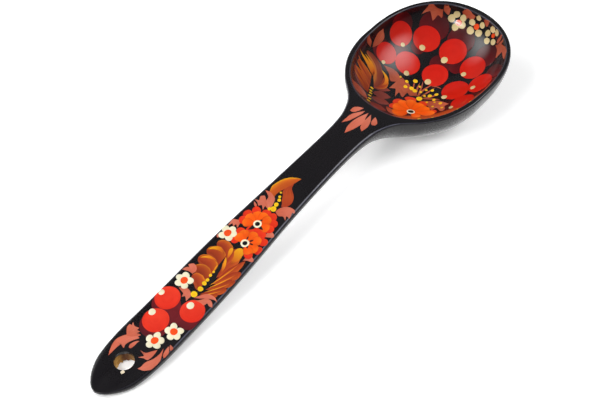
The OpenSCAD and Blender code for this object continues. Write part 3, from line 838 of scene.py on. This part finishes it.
# Maroon darkened for the bowl: painted shade
bowl_maroon_shaded = oil("maroon_paint", "maroon_bowl_shaded", (0, 106, 14, 22), (0.6, 84, 12, 18), (1, 56, 10, 14),
                  streak=0.4)
centre_red = oil("centre_red_paint", "centre_red", (0, 250, 84, 24), (1, 244, 74, 20), streak=0.12)
petal_red = oil("petal_red_paint", "petal_red", (0, 226, 44, 22), (1, 236, 60, 24), streak=0.15)
petal_orange = oil("petal_orange_paint", "petal_orange", (0, 246, 84, 4), (0.6, 252, 92, 8),
                   (1, 255, 116, 20), streak=0.12, vary=0.12, rim=0.22)
feather = oil("leaf_gold_paint", "feather", (0, 230, 132, 30), (0.12, 200, 88, 26), (0.4, 176, 62, 28),
              (0.7, 154, 48, 24), (1, 176, 70, 30), axis="across", streak=0.42, bristle=14, vary=0.2)
feather_low = oil("leaf_gold_paint", "feather_low", (0, 202, 88, 30), (0.4, 184, 70, 28),
                  (1, 156, 50, 24), axis="across", streak=0.42, bristle=14)
feather_gold = oil("leaf_gold_paint", "feather_gold", (0, 246, 178, 24), (0.35, 240, 150, 22),
                   (0.75, 216, 104, 24), (1, 152, 48, 24), streak=0.3)
feather_bright = oil("leaf_gold_paint", "feather_bright", (0, 222, 116, 26), (0.35, 204, 88, 26),
                     (1, 122, 42, 20), streak=0.45)
feather_brown = oil("leaf_gold_paint", "feather_brown", (0, 128, 50, 30), (0.6, 148, 66, 40),
                    (0.85, 214, 126, 50), (1, 150, 66, 36), axis="across", streak=0.35)
rim_orange = oil("leaf_gold_paint", "rim_orange", (0, 214, 110, 36), (0.5, 204, 84, 28),
                 (1, 176, 62, 26), axis="across", streak=0.35)
feather_dark = oil("leaf_gold_paint", "feather_dark", (0, 120, 46, 38), (1, 150, 66, 54), streak=0.4)
bud_gold = oil("leaf_gold_paint", "bud_gold", (0, 240, 170, 22), (0.14, 226, 124, 24),
               (0.4, 198, 86, 28), (1, 182, 70, 26), axis="across", streak=0.3)
bud_red = oil("leaf_gold_paint", "bud_red", (0, 164, 58, 26), (0.5, 182, 72, 30), (1, 166, 54, 30),
              streak=0.3)
yellow = oil("yellow_paint", "yellow", (0, 246, 172, 18), (0.5, 250, 196, 24), (0.8, 252, 206, 30),
             axis="across", streak=0.06)
BLACKS = [(0, (0.006, 0.0055, 0.007)), (1, (0.009, 0.008, 0.01))]
black_paint = paint_material("black_paint", BLACKS, streak=0.3), "lacquered_wood"

body.data.materials.clear()
body.data.materials.append(lacquer)
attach(body, "root")
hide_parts("spoon_body")
sleeve = sleeve_mesh("hole_bare_wood", wood_material("bare_wood", LIME_WOOD))
smooth_by_angle(sleeve.data, SLEEVE_SMOOTH)
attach(sleeve, "root")

# ---- neck
Paint(0).blades([
    ([(174, 7.5), (176.5, 7.5), (178, 6), (179, 3.5)], [(174, 6), (176, 4.5)]),
    ([(166, 6), (169.5, 6), (173, 5.5), (178, 2)], [(169, 4), (172, 3), (175.5, 2)]),
    ([(162, 1), (166, 2.5), (170.5, 2.5), (174.5, 1.5), (178, 0)],
     [(165.5, -0.5), (169, -1.5), (172, -2), (174.5, -1)]),
    ([(167.5, -4.5), (169, -2.5), (172.5, -1.5), (175.5, -1.5), (178, -1.5)], [(171, -5), (174.5, -4)]),
]).stroke([(173.5, -6.5), (178, -4)], 2.8, "drop").piece("neck_spray", terracotta, "neck_leaf_spray")

# ---- bud leaf at the top of the handle
Paint(0).blades([
    ([(126.5, 0.5), (122.5, 2), (119.5, 1.5), (117, -0.5), (115.5, -2), (114, -3), (115, -5)],
     [(124, -0.5), (122, -3), (120.5, -4.5), (118, -5.5)]),
]).piece("bud_red_lobe", bud_red, "handle_bud_leaf")
Paint(1).blades([
    ([(130.5, -0.5), (129, 3), (126.5, 5.5), (123, 7), (120, 7.5), (117, 6.5)],
     [(126.5, 0.5), (123.5, 1.5), (120.5, 2.5), (117.5, 2.5), (115.5, 3.5)]),
]).piece("bud_gold_lobe", bud_gold, "handle_bud_leaf")
Paint(2).blades([
    ([(121, 2.5), (119, 3), (116.5, 3), (115, 1.5), (112.5, 1), (111, -0.5)],
     [(119, 0.5), (116.5, -1), (114.5, -2), (112, -2)]),
]).piece("bud_slit", black_paint)
Paint(3).blades([
    ([(116.5, 8.5), (115.5, 6.5), (114.5, 5), (112.5, 4.5), (110.5, 3), (109.5, 1)],
     [(117, 6), (116.5, 4), (115.5, 2), (113.5, 1), (111.5, 0.5)]),
    ([(109.5, 1), (112.5, 4.5), (114, 6.5), (113.5, 7.5), (112.5, 8), (111, 7), (110, 9)],
     [(110, 3), (108, 2.5), (109.5, 4.5), (108.5, 5.5), (109.5, 7)]),
    ([(110.5, -2.5), (113, -3), (115, -4.5), (116, -6.5), (116, -9), (115, -10.5)],
     [(109.5, -5), (110.5, -7), (109.5, -9), (111.5, -8), (111.5, -10), (114, -8.5)]),
]).stroke([(107.5, 6), (109, 8.5)], 1.1, "drop").piece(
    "bud_side_leaves", terracotta, "handle_terracotta_leaves")

# ---- two orange flowers
def fan_petals(paint, eye, ring, reach, width):
    """Petals that spread from beside the eye and end round, just past each point of the ring."""
    for at in ring:
        out = np.array(at, float) - eye
        out /= np.linalg.norm(out)
        paint.stroke([eye + out * 0.6, at + out * reach], width, "fan", 0.03)


RED_1 = [(106, 4.5), (102.5, 6.5), (99, 6), (107.5, 0), (107.5, -3.5), (105, -6), (102, -6.5)]
RED_2 = [(94, 3), (97, 0), (98.5, -3), (98, -5.5), (95.5, -8.5), (91, -9.5), (87, -7.5), (89.5, 2.5)]
ORANGE_1 = [(104.5, 2.5), (101.5, 4.5), (105.5, 0), (99, 4), (105, -2.5), (101.5, -4.5)]
ORANGE_2 = [(94, 1), (95.5, -3), (94.5, -6), (90.5, -7.5), (88.5, -6), (91.5, 1.5)]
EYES = [(101, -0.5), (90.5, -2.5)]
Paint(4).discs(RED_1 + RED_2, 2.05, rough=0.04).piece(
    "handle_red_petals_painted", petal_red, "handle_red_petals")
orange = Paint(6)
for eye, ring in zip(EYES, (ORANGE_1, ORANGE_2)):
    fan_petals(orange, np.array(eye), ring, reach=1.9, width=4.7)
orange.piece("handle_orange_petals_painted", petal_orange, "handle_orange_petals")
Paint(8).strokes([
    ([(99.5, -0.5), (96.5, 1)], 1.8, "drop"), ([(100.5, -1.5), (100, -4.5)], 1.5, "drop"),
    ([(102.5, 0), (104, -1)], 0.8), ([(89.5, -2), (86.5, -1)], 1.6, "drop"),
    ([(92, -3.5), (94, -4.5)], 0.9), ([(91.5, -4), (92, -6)], 0.8), ([(90.5, -4), (89, -5)], 0.9),
    ([(92, -2), (94, -1.5)], 0.7),
]).piece("handle_flower_notches", black_paint)
Paint(10).discs(EYES, 1.95).piece("handle_eyes_painted", cream, "handle_flower_eyes")
Paint(12).discs(EYES, 1.1).piece("handle_pupils", black_paint)

# ---- small leaves along the handle
Paint(2).blades([
    ([(97, 6), (98, 7), (97.5, 8.5), (96.5, 10), (93, 9.5)],
     [(94.5, 5.5), (95.5, 7), (94, 7.5), (95, 8.5)]),
    ([(98, -7.5), (100, -7), (101.5, -7.5), (101.5, -9), (100.5, -11)], [(98.5, -8.5), (99.5, -10)]),
    ([(83.5, -7.5), (85, -7.5), (86.5, -8), (87, -10), (86, -12)], [(84.5, -9), (85, -10.5)]),
    ([(66, 6), (67, 7.5), (67.5, 9), (68.5, 10.5)], [(67.5, 5.5), (69, 6), (70, 7.5), (70, 9)]),
    ([(66, 5.5), (66, 8), (65.5, 9.5), (65, 11)], [(67, 7.5), (67.5, 9.5), (66.5, 10.5)]),
    ([(57.5, 6), (57, 4), (56.5, 2.5), (55, 2), (56, 1), (54.5, -1)],
     [(59, 4.5), (59.5, 2.5), (59, 0.5), (57.5, -1), (56, -1)]),
]).stroke([(86, 9), (87, 10.5)], 1.0, "drop").piece("handle_small_leaves", terracotta)
Paint(7).blades([
    ([(57.5, -2.5), (60, -4), (62, -5.5), (63, -7.5), (63, -10), (62, -12)],
     [(59, -5), (60.5, -7), (61.5, -9), (62, -10.5)]),
    ([(57, -4), (58.5, -5.5), (60.5, -7), (61, -9), (60.5, -10.5), (59, -12)],
     [(57.5, -6.5), (57.5, -8.5), (59, -9), (58.5, -10.5)]),
]).piece("handle_fern_leaves", terracotta)

# ---- feather leaf
Paint(0).strokes([
    ([(80, 0), (84, 2.5), (83.5, 7.5)], 5.6), ([(76, -0.5), (79.5, 4), (78, 8.5)], 6.6),
    ([(70.5, -1), (74, 3.5), (73, 9)], 6.6), ([(65.5, -1.5), (69.5, 2.5), (68.5, 7.5)], 6),
    ([(61.5, -2), (65, 1), (65.5, 5.5)], 5.2),
], "petal").piece("feather_bands", feather, "handle_feather_leaf")
Paint(1).blades([
    ([(70, -3.5), (75, -2.5), (80, 0), (84.5, 0), (87, -2)], [(75, -6), (80, -7), (84.5, -5.5)]),
]).strokes([
    ([(69, -4.5), (76, -7), (84, -8.5)], 4, "leaf"), ([(67, -4), (73, -8), (78.5, -11)], 4),
    ([(63.5, -4), (69, -8), (74, -12)], 3.8), ([(60.5, -3.5), (64.5, -7.5), (69, -11)], 3.6),
    ([(59, -3.5), (62, -6.5), (64.5, -10)], 3),
], "fan").piece("feather_lower", feather_low)
Paint(3).strokes([
    ([(87.5, -2.5), (84, -4), (79, -4.5)], 4.4, "drop"),
    ([(85.5, 0.5), (83, -0.5), (80, -1.5)], 1.8, "drop"), ([(80.5, -0.5), (77, -2.5), (73.5, -4)], 1.5),
    ([(79, 8.5), (82, 5), (81, 1)], 1.9), ([(74, 8.5), (76.5, 5), (76.5, 1)], 1.0),
    ([(75.5, 0), (73.5, -0.5), (71.5, -1)], 0.8),
]).piece("feather_tips", feather_gold)
Paint(4).stroke([(77.5, -3), (81.5, -2.5), (85, -1)], 1.8, "leaf").piece(
    "feather_tip_shade", feather_low)
Paint(2).strokes([
    ([(66, -4), (74, -6), (82.5, -7.5)], 0.6), ([(65, -4.5), (71, -7.5), (77.5, -10)], 0.6),
    ([(62.5, -4.5), (67.5, -8), (73, -11)], 0.5), ([(60.5, -4.5), (64.5, -8), (68, -10.5)], 0.5),
]).piece("feather_veins", feather_gold)
Paint(2).blades([
    ([(80.5, 0), (75, -0.5), (71.5, -1), (66, -1.5), (58, -1.5)],
     [(77, -1.5), (73, -3), (69, -4), (62.5, -3.5)]),
]).piece("feather_slit", black_paint)

# ---- handle berries
HANDLE_BERRIES = [(51, 6.5, 5.7), (40, 3, 5.9), (52.5, -6.5, 5.5)]
Paint(0).discs([(48.5, 5, 6.3), (38, 2, 6.5), (49.5, -7.5, 6.2), (46.5, -0.5, 5.4)], tone=(-1, 0)).piece(
    "handle_shades", maroon, "handle_berry_shades")
Paint(3).discs(HANDLE_BERRIES, rough=0.008, tone=(0.7, 0.7)).piece(
    "handle_berries_painted", berry, "handle_berries")
Paint(6).discs([(51.5, 10.5, 1.4), (42, 7, 1.6), (54, -4, 1.7)], rough=0.03).piece(
    "handle_glints", cream, "handle_berry_glints")

# ---- white flowers on the handle
# The middle of each flower, and for each petal a point on the way out through it
WHITE = {
    (90, 7): [(91, 9), (93, 6.5), (91.5, 4), (88.5, 5), (87.5, 8.5)],
    (61.5, 6.5): [(63.5, 7.5), (62.5, 5), (60, 5), (58.5, 8), (61.5, 9.5)],
    (40.5, -7): [(42.5, -5), (42.5, -9), (39.5, -10), (37.5, -7.5), (39.5, -4.5)],
    (32.5, -3.5): [(35.5, -2.5), (34.5, -6), (31, -6.5), (29.5, -3), (32, -1)],
}
PETAL_REACH, PETAL_R = 2.5, 1.65
petals = Paint(10)
for middle, ring in WHITE.items():
    for at in ring:
        out = np.array(at, float) - middle
        here = middle + out * PETAL_REACH / np.linalg.norm(out)
        petals.disc(here, PETAL_R, rough=0.06, tone=(0.5, -0.5))
petals.piece("handle_white_painted", cream, "handle_white_petals")
Paint(14).discs(list(WHITE), 1.7, rough=0.03).piece(
    "handle_centres", centre_red, "handle_flower_centres")

# ---- yellow dots
Paint(8).discs([
    (119.5, 2, 0.5), (117.5, 1, 0.65), (116, 0, 0.8), (113.5, -0.5, 1.05), (111, -1, 1.35), (110, 0.5, 0.8),
    (59, -1.5, 1.45), (62.5, -2, 1.2), (65.5, -1.5, 1), (67.5, -1.5, 0.8), (70, -1, 0.7), (72, -1, 0.55),
], rough=0.05).piece("handle_dots", yellow, "handle_yellow_dots")

# ---- leaves by the hanging hole
Paint(1).blades([
    ([(15.5, 7), (19, 9), (22.5, 10), (25, 9.5), (27.5, 8), (29.5, 6), (31, 3)],
     [(18.5, 7), (23, 6.5), (22, 4.5), (24, 5), (27, 4), (29.5, 2.5), (29.5, 3.5)]),
    ([(27, 7.5), (29, 9.5), (30.5, 10.5), (32, 10.5), (32, 9.5), (33.5, 10)],
     [(28.5, 5), (31, 3), (30.5, 5), (32, 4.5), (31.5, 6), (33, 6), (32.5, 8)]),
    ([(30, -7.5), (28, -6), (26, -4.5), (25.5, -2), (25, -5), (22.5, -3.5)],
     [(26.5, -8), (24, -7.5), (23.5, -5.5)]),
    ([(32, -9), (29, -9.5), (26, -9), (22.5, -7.5), (20, -7.5), (18.5, -7)],
     [(29.5, -10.5), (26.5, -12), (22.5, -12), (20, -10.5), (19, -9)]),
]).strokes([
    ([(23.5, 2.5), (26, 2.5), (28.5, 1.5)], 1.9), ([(29, -12.5), (34, -10)], 2.3),
    ([(33.5, -12.5), (35, -10)], 1.6),
], "drop").piece("handle_end_leaves", terracotta)

Paint(0).blades([
    ([(14.5, -2.5), (14, -4), (12.5, -3.5)], [(13, -2.5)]),
]).piece("hole_edge_chip", (wood_material("chipped_wood", PALE_WOOD), "lacquered_wood"))

# ---- bowl: berries
BOWL_BERRIES = [
    (235.5, 26, 6.2), (244, 16.5, 6.7), (247, 2.5, 6.8), (222.5, 24.5, 5.6), (228, 15.5, 6.3),
    (232.5, 2, 6.4), (244, -11.5, 6.6), (236, -21.5, 6.4), (229, -12.5, 6.8), (222, -21.5, 5.9),
]
BOWL_SHADES = [
    (239, 28, 5.6), (250.5, 17, 7.4), (253, 2.5, 7), (222, 26.5, 5.5), (229.5, 21, 4.4), (238.5, 3.5, 5.4),
    (251, -14, 6.2), (243, -25.5, 3.6), (238, 17, 3.4), (241.5, -4, 3.8), (243.5, -23.5, 4.4),
]
BOWL_GLINTS = [
    (233, 22.5, 1.1), (239.5, 15.5, 1.5), (241.5, 3.5, 1.7), (218, 22.5, 1), (223.5, 12.5, 1.4),
    (227.5, 2.5, 1.6), (239.5, -9.5, 1.3), (223, -10.5, 1.4), (233, -19.5, 1.3), (216.5, -19, 1.1),
]
Paint(0).discs(BOWL_SHADES, tone=(1, 0)).piece("bowl_shades", bowl_maroon_shaded, "bowl_berry_shades")
Paint(3).discs(BOWL_BERRIES, rough=0.008, tone=(-0.6, -0.6)).piece(
    "bowl_berries_painted", bowl_berry_shaded, "bowl_berries")
Paint(6).discs(BOWL_GLINTS, rough=0.03).piece("bowl_glints", cream_bowl_shaded, "bowl_berry_glints")

# ---- bowl: white flowers
BOWL_WHITE = {
    (258, 8): [(259.5, 10.5, 1.7), (257.5, 12, 1.9), (260, 7, 1.7), (258, 6, 1.8), (256, 8.5, 1.8)],
    (260, -1): [(262, -0.5, 1.4), (260.5, 2, 1.6), (261, -3.5, 1.5), (258, 1, 1.9), (258.5, -3.5, 1.8)],
    (259, -11.5): [(260.5, -10, 1.7), (259.5, -8, 1.6), (259.5, -13, 1.6), (257, -9.5, 1.6),
                   (257, -13, 1.5)],
}
petals = Paint(5)
centres = Paint(9)
for middle, ring in BOWL_WHITE.items():
    petals.discs(ring, rough=0.05, tone=(0.5, 0.5))
    centres.disc(middle, 1.5 if middle[1] > -5 else 1.15)
petals.piece("bowl_white_painted", cream_bowl_shaded, "bowl_white_petals")
centres.piece("bowl_centres", centre_red, "bowl_flower_centres")

# ---- bowl: leaves
Paint(2).blades([
    ([(257, 17), (256, 18.5), (254.5, 21), (253, 22.5), (251, 23.5), (249, 24)],
     [(255, 16), (254.5, 18), (252.5, 18.5), (251.5, 19), (253, 21), (251.5, 22.5)]),
    ([(257, 16.5), (257.5, 17), (258.5, 16), (259, 14)], [(257.5, 14)]),
    ([(261, 8.5), (262, 6.5), (262, 4), (262, 1.5)], [(260, 6), (261, 4.5), (260.5, 2.5)]),
    ([(262, -3.5), (262, -5), (262, -7)], [(261, -6)]),
    ([(256, -15), (256, -18), (253, -22.5), (250, -25), (248, -25.5)],
     [(254, -17.5), (250.5, -19.5), (253, -20.5), (250.5, -23)]),
    ([(216.5, 29.5), (215.5, 31), (218, 31.5)], [(218.5, 30.5)]),
    ([(217.5, 29), (219.5, 30), (223.5, 31), (228, 31)], [(222, 28.5), (226.5, 29)]),
    ([(217, 21.5), (219.5, 18), (220, 15), (218.5, 12), (216.5, 10.5)],
     [(216, 17.5), (213.5, 14.5), (215.5, 12.5)]),
    ([(217, 0.5), (218.5, 5), (220, 10.5), (218.5, 12.5), (214.5, 12.5), (209.5, 12)],
     [(214, 3), (214.5, 5), (210, 4.5), (211.5, 7.5), (207.5, 7), (212, 9.5)]),
    ([(214.5, -3), (217, -6), (219.5, -10), (219.5, -13), (219, -16)],
     [(213, -8.5), (211, -12), (214, -12.5), (212, -16.5), (214.5, -17), (216, -15)]),
    ([(192.5, 21.5), (195, 19), (195, 15.5), (192, 11.5)], [(190, 18), (190.5, 15)]),
]).strokes([
    ([(257, -15), (258, -17)], 1.8), ([(256, -16.5), (256.5, -19)], 1.3),
    ([(197, 4), (194.5, -3.5)], 3.4, "leaf"),
], "drop").piece("bowl_leaves", bowl_terracotta_shaded, "bowl_terracotta_leaves")
Paint(3).strokes([
    ([(215.5, 0.5), (219.5, 3), (224.5, 5)], 0.9), ([(215.5, 0), (221, 2), (226.5, 4.5)], 0.8),
    ([(216, -0.5), (222, 1), (228, -0.5)], 0.9), ([(216.5, -1), (222, -1.5), (227, -2.5)], 0.8),
    ([(216.5, -2), (220.5, -5), (224, -7)], 0.9), ([(216, -2), (219, -6), (220.5, -10)], 0.9),
    ([(216.5, 3), (218.5, 6), (220, 9.5)], 0.7), ([(217.5, 3.5), (221, 6), (223.5, 7)], 0.7),
    ([(226, -0.5), (227.5, -2.5), (227.5, -5.5)], 0.6), ([(218.5, 9.5), (219.5, 11), (219.5, 13)], 0.6),
]).piece("bowl_stems", bowl_terracotta_shaded)

# ---- bowl: feather leaf on the far side
Paint(0).strokes([
    ([(191.5, 10), (192.5, 5.5), (193.5, 1.5)], 4.7), ([(195.5, 12), (198, 8.5), (200, 4.5)], 5.5),
    ([(199, 14), (202, 11), (205, 7.5)], 5.3), ([(202, 15.5), (206, 13.5), (208.5, 10.5)], 3.6),
    ([(211, 22), (207, 18), (202, 15.5)], 3), ([(198, 24.5), (198, 20), (196.5, 15)], 4.2),
]).piece("bowl_feather_dark", feather_dark)
Paint(1).strokes([
    ([(203, 15.5), (208.5, 14.5), (213.5, 18)], 3.4, "leaf"),
    ([(197, 14.5), (200.5, 21), (201, 26.5)], 4.8), ([(200.5, 16.5), (205, 22.5), (205.5, 28)], 4.6),
], "petal").piece("bowl_feather_low_bands", feather)
Paint(2).stroke([(203, 16.5), (210.5, 19.5), (214, 24), (213, 29)], 4.6, "petal").piece(
    "bowl_feather_brown", feather_brown)
Paint(3).strokes([
    ([(199, 25.5), (198.5, 20.5), (196.5, 15)], 1.4), ([(201.5, 27), (201, 21.5), (198.5, 15.5)], 1.4),
    ([(204, 28), (203.5, 22.5), (200.5, 16.5)], 1.5), ([(206.5, 29), (206, 23.5), (203, 18)], 1.6),
]).piece("bowl_feather_bright", feather_bright)
Paint(4).strokes([
    ([(211.5, 28.5), (211.5, 24.5), (208.5, 20.5)], 1.4), ([(209, 30), (210, 26), (206.5, 20)], 2.1),
    ([(214, 20.5), (212.5, 16), (206.5, 15)], 1.7),
]).piece("bowl_feather_bands", feather_gold, "bowl_feather_leaf")
Paint(5).blades([
    ([(208.5, 22), (205.5, 18.5), (201, 15), (196, 12), (191, 9.5)],
     [(203, 18.5), (197, 15), (192.5, 12)]),
]).piece("bowl_feather_slit", black_paint)
Paint(6).discs([(201, 16), (199, 15), (197.5, 14), (195.5, 13), (193.5, 11.5), (191.5, 10.5)],
               0.95, squash=0.5, turn=115).piece("bowl_feather_dashes", yellow)

# ---- bowl: orange flower and sprig
BOWL_EYE = (203.5, -5.5)
Paint(4).strokes([
    ([(204.5, -1), (206, 5.5)], 5.8), ([(209, -1), (213.5, 2)], 5.6), ([(209.5, -5), (215, -5.5)], 4.4),
    ([(201, -0.5), (200.5, 4.5)], 4.9), ([(207, -11), (211.5, -14.5)], 3.6),
], "fan").piece("bowl_red_painted", petal_red, "bowl_red_petals")
Paint(6).strokes([
    ([(203.5, -4.5), (195, -1.5)], 6.7), ([(204, -4), (200.5, 3)], 7.2), ([(204.5, -4), (207.5, 3.5)], 5.6),
    ([(205, -4.5), (212, 0.5)], 5.6), ([(205, -5), (213, -5)], 6), ([(205, -6), (212, -10)], 5.9),
    ([(204, -6.5), (209.5, -15)], 5.4), ([(203, -6), (201.5, -11.5)], 4.6),
], "fan").piece("bowl_orange_painted", petal_orange, "bowl_orange_petals")
Paint(9).disc(BOWL_EYE, 2.0).piece("bowl_eye", cream, "bowl_flower_eye")
Paint(10).disc(BOWL_EYE, 1.45, squash=0.9, turn=-40).piece("bowl_pupil", black_paint)
Paint(6).discs([
    (223.5, 7, 1.1), (220, 9.5, 0.85), (217, 8, 0.95), (218.5, 5.5, 1.1), (218.5, 3.5, 1.1),
    (222.5, 3.5, 0.6), (220, 1, 0.65), (223, 0, 0.65), (224.5, -2.5, 0.85), (223, -6, 0.95),
    (220.5, -4, 1.05), (219, -2, 0.6), (215.5, -1.5, 1.5), (219, -7.5, 0.8), (218, -12, 0.9),
    (215.5, -6, 0.55), (217.5, -9, 0.5), (214, -10.5, 0.6), (215, -15, 0.6), (219.5, 13, 0.5),
], rough=0.05).piece("bowl_dots", yellow, "bowl_sprig_dots")

# ---- bowl: band along the near rim
Paint(1).blades([
    ([(192.5, -2.5), (198, -6), (203, -10), (208, -15), (214, -19), (220.5, -23), (228, -26.5),
      (236, -27.5)],
     [(195, -9.5), (199.5, -14.5), (205, -19), (211, -23.5), (219, -27), (228, -29)]),
]).piece("bowl_rim_band", rim_orange)
Paint(3).strokes([
    ([(198.5, -11.5), (196.5, -15), (196, -19.5)], 3.4),
    ([(202.5, -15.5), (200.5, -19.5), (200.5, -24)], 3.6),
    ([(207, -19.5), (205.5, -23), (206.5, -27.5)], 3.6), ([(212, -22.5), (211.5, -26), (213, -29.5)], 3.4),
    ([(218, -25.5), (218.5, -28.5), (220.5, -31)], 3),
]).piece("bowl_rim_leaves", bowl_terracotta_shaded)
Paint(4).discs([(200, -13, 0.9), (204.5, -17.5, 0.9), (209, -21, 0.9), (215, -24, 0.8),
                (221.5, -26, 0.7)], rough=0.05).piece("bowl_rim_dots", yellow)


# ---- room: floor, lights, camera
def floor_material():
    mat, tree, shader = material("studio_floor")
    cloud = noise(tree, stretched(tree), 6.0)
    # The floor glows, dimmer within a few millimetres of the spoon: a painted contact shadow
    contact_shadow_ao = add(tree, "ShaderNodeAmbientOcclusion", {"Distance": 6 * MM}, samples=8).outputs["AO"]
    feed(tree, shader, {"Base Color": mix(tree, cloud, (0.90, 0.90, 0.90), (0.92, 0.92, 0.925)),
                        "Roughness": spread(tree, cloud, 0.75, 0.85), "Specular IOR Level": 0.1,
                        "Emission Color": (1, 1, 1, 1), "Emission Strength": spread(tree, contact_shadow_ao, 0.15, 0.42)})
    return mat


def sheet(name, half_x, half_y, mat):
    """Flat rectangle round its own origin."""
    corners = [(-half_x, -half_y, 0), (half_x, -half_y, 0), (half_x, half_y, 0), (-half_x, half_y, 0)]
    return new_object(name, corners, [(0, 1, 2, 3)], mat)


FLOOR_HALF = 3.0
FLOOR_GAP = 0.1 * MM
floor = sheet("studio_floor", FLOOR_HALF, FLOOR_HALF, floor_material())
floor.location.z = -FLOOR_GAP

TARGET = Vector((-0.00565, -0.00269, 0.012))
CAMERA_AZ, CAMERA_EL, CAMERA_FAR = -49.66, 49.36, 0.7088
LENS, SENSOR, NEAR = 96, 36, 0.01


def around(az, el, far):
    """Point at that azimuth and elevation from the target; azimuth 0 is the -Y side."""
    a, e = math.radians(az), math.radians(el)
    return TARGET + far * Vector((math.sin(a) * math.cos(e), -math.cos(a) * math.cos(e), math.sin(e)))


def aim(obj):
    """Turn a camera's or a panel's face to the target."""
    obj.rotation_euler = (TARGET - obj.location).to_track_quat("-Z", "Y").to_euler()


camera = bpy.data.objects.new("camera", bpy.data.cameras.new("camera"))
bpy.context.scene.collection.objects.link(camera)
camera.location = around(CAMERA_AZ, CAMERA_EL, CAMERA_FAR)
aim(camera)
camera.data.lens = LENS
camera.data.sensor_width = SENSOR
camera.data.clip_start = NEAR
bpy.context.scene.camera = camera


def panel(name, az, el, far, size, strength):
    """Glowing studio panel, bright in its middle and fading to nothing at its edge.

    az is from straight behind the object as the camera sees it, + to the right.
    """
    mat, tree, shader = material(name)
    coords = add(tree, "ShaderNodeTexCoord").outputs["Object"]
    scaled = add(tree, "ShaderNodeMapping", {"Vector": coords, "Scale": (2 / size[0], 2 / size[1], 1)})
    away = add(tree, "ShaderNodeVectorMath", {0: scaled.outputs[0]}, operation="LENGTH").outputs["Value"]
    glow = add(tree, "ShaderNodeMapRange", {"Value": away, "From Min": 1.0, "From Max": 0.0,
                                            "To Min": 0.0, "To Max": strength},
               interpolation_type="SMOOTHSTEP").outputs["Result"]
    feed(tree, shader, {"Emission Strength": glow, "Emission Color": (1, 1, 1, 1),
                        "Base Color": (0, 0, 0, 1), "Specular IOR Level": 0})
    obj = sheet(name, size[0] / 2, size[1] / 2, mat)
    obj.location = around(CAMERA_AZ + 180 - az, el, far)
    aim(obj)


panel("key_left", az=-74, el=44, far=1.2, size=(1.3, 1.0), strength=7.5)
panel("panel_right", az=82, el=46, far=1.2, size=(1.1, 1.0), strength=8.5)
panel("main_front", az=-135, el=46, far=1.3, size=(0.70, 0.42), strength=38.0)

WORLD_LIGHT = 0.23
world = bpy.data.worlds.new("studio")
bpy.context.scene.world = world
world.use_nodes = True
feed(world.node_tree, world.node_tree.nodes["Background"], {"Color": (1, 1, 1, 1), "Strength": WORLD_LIGHT})
bpy.context.scene.view_settings.view_transform = "Standard"
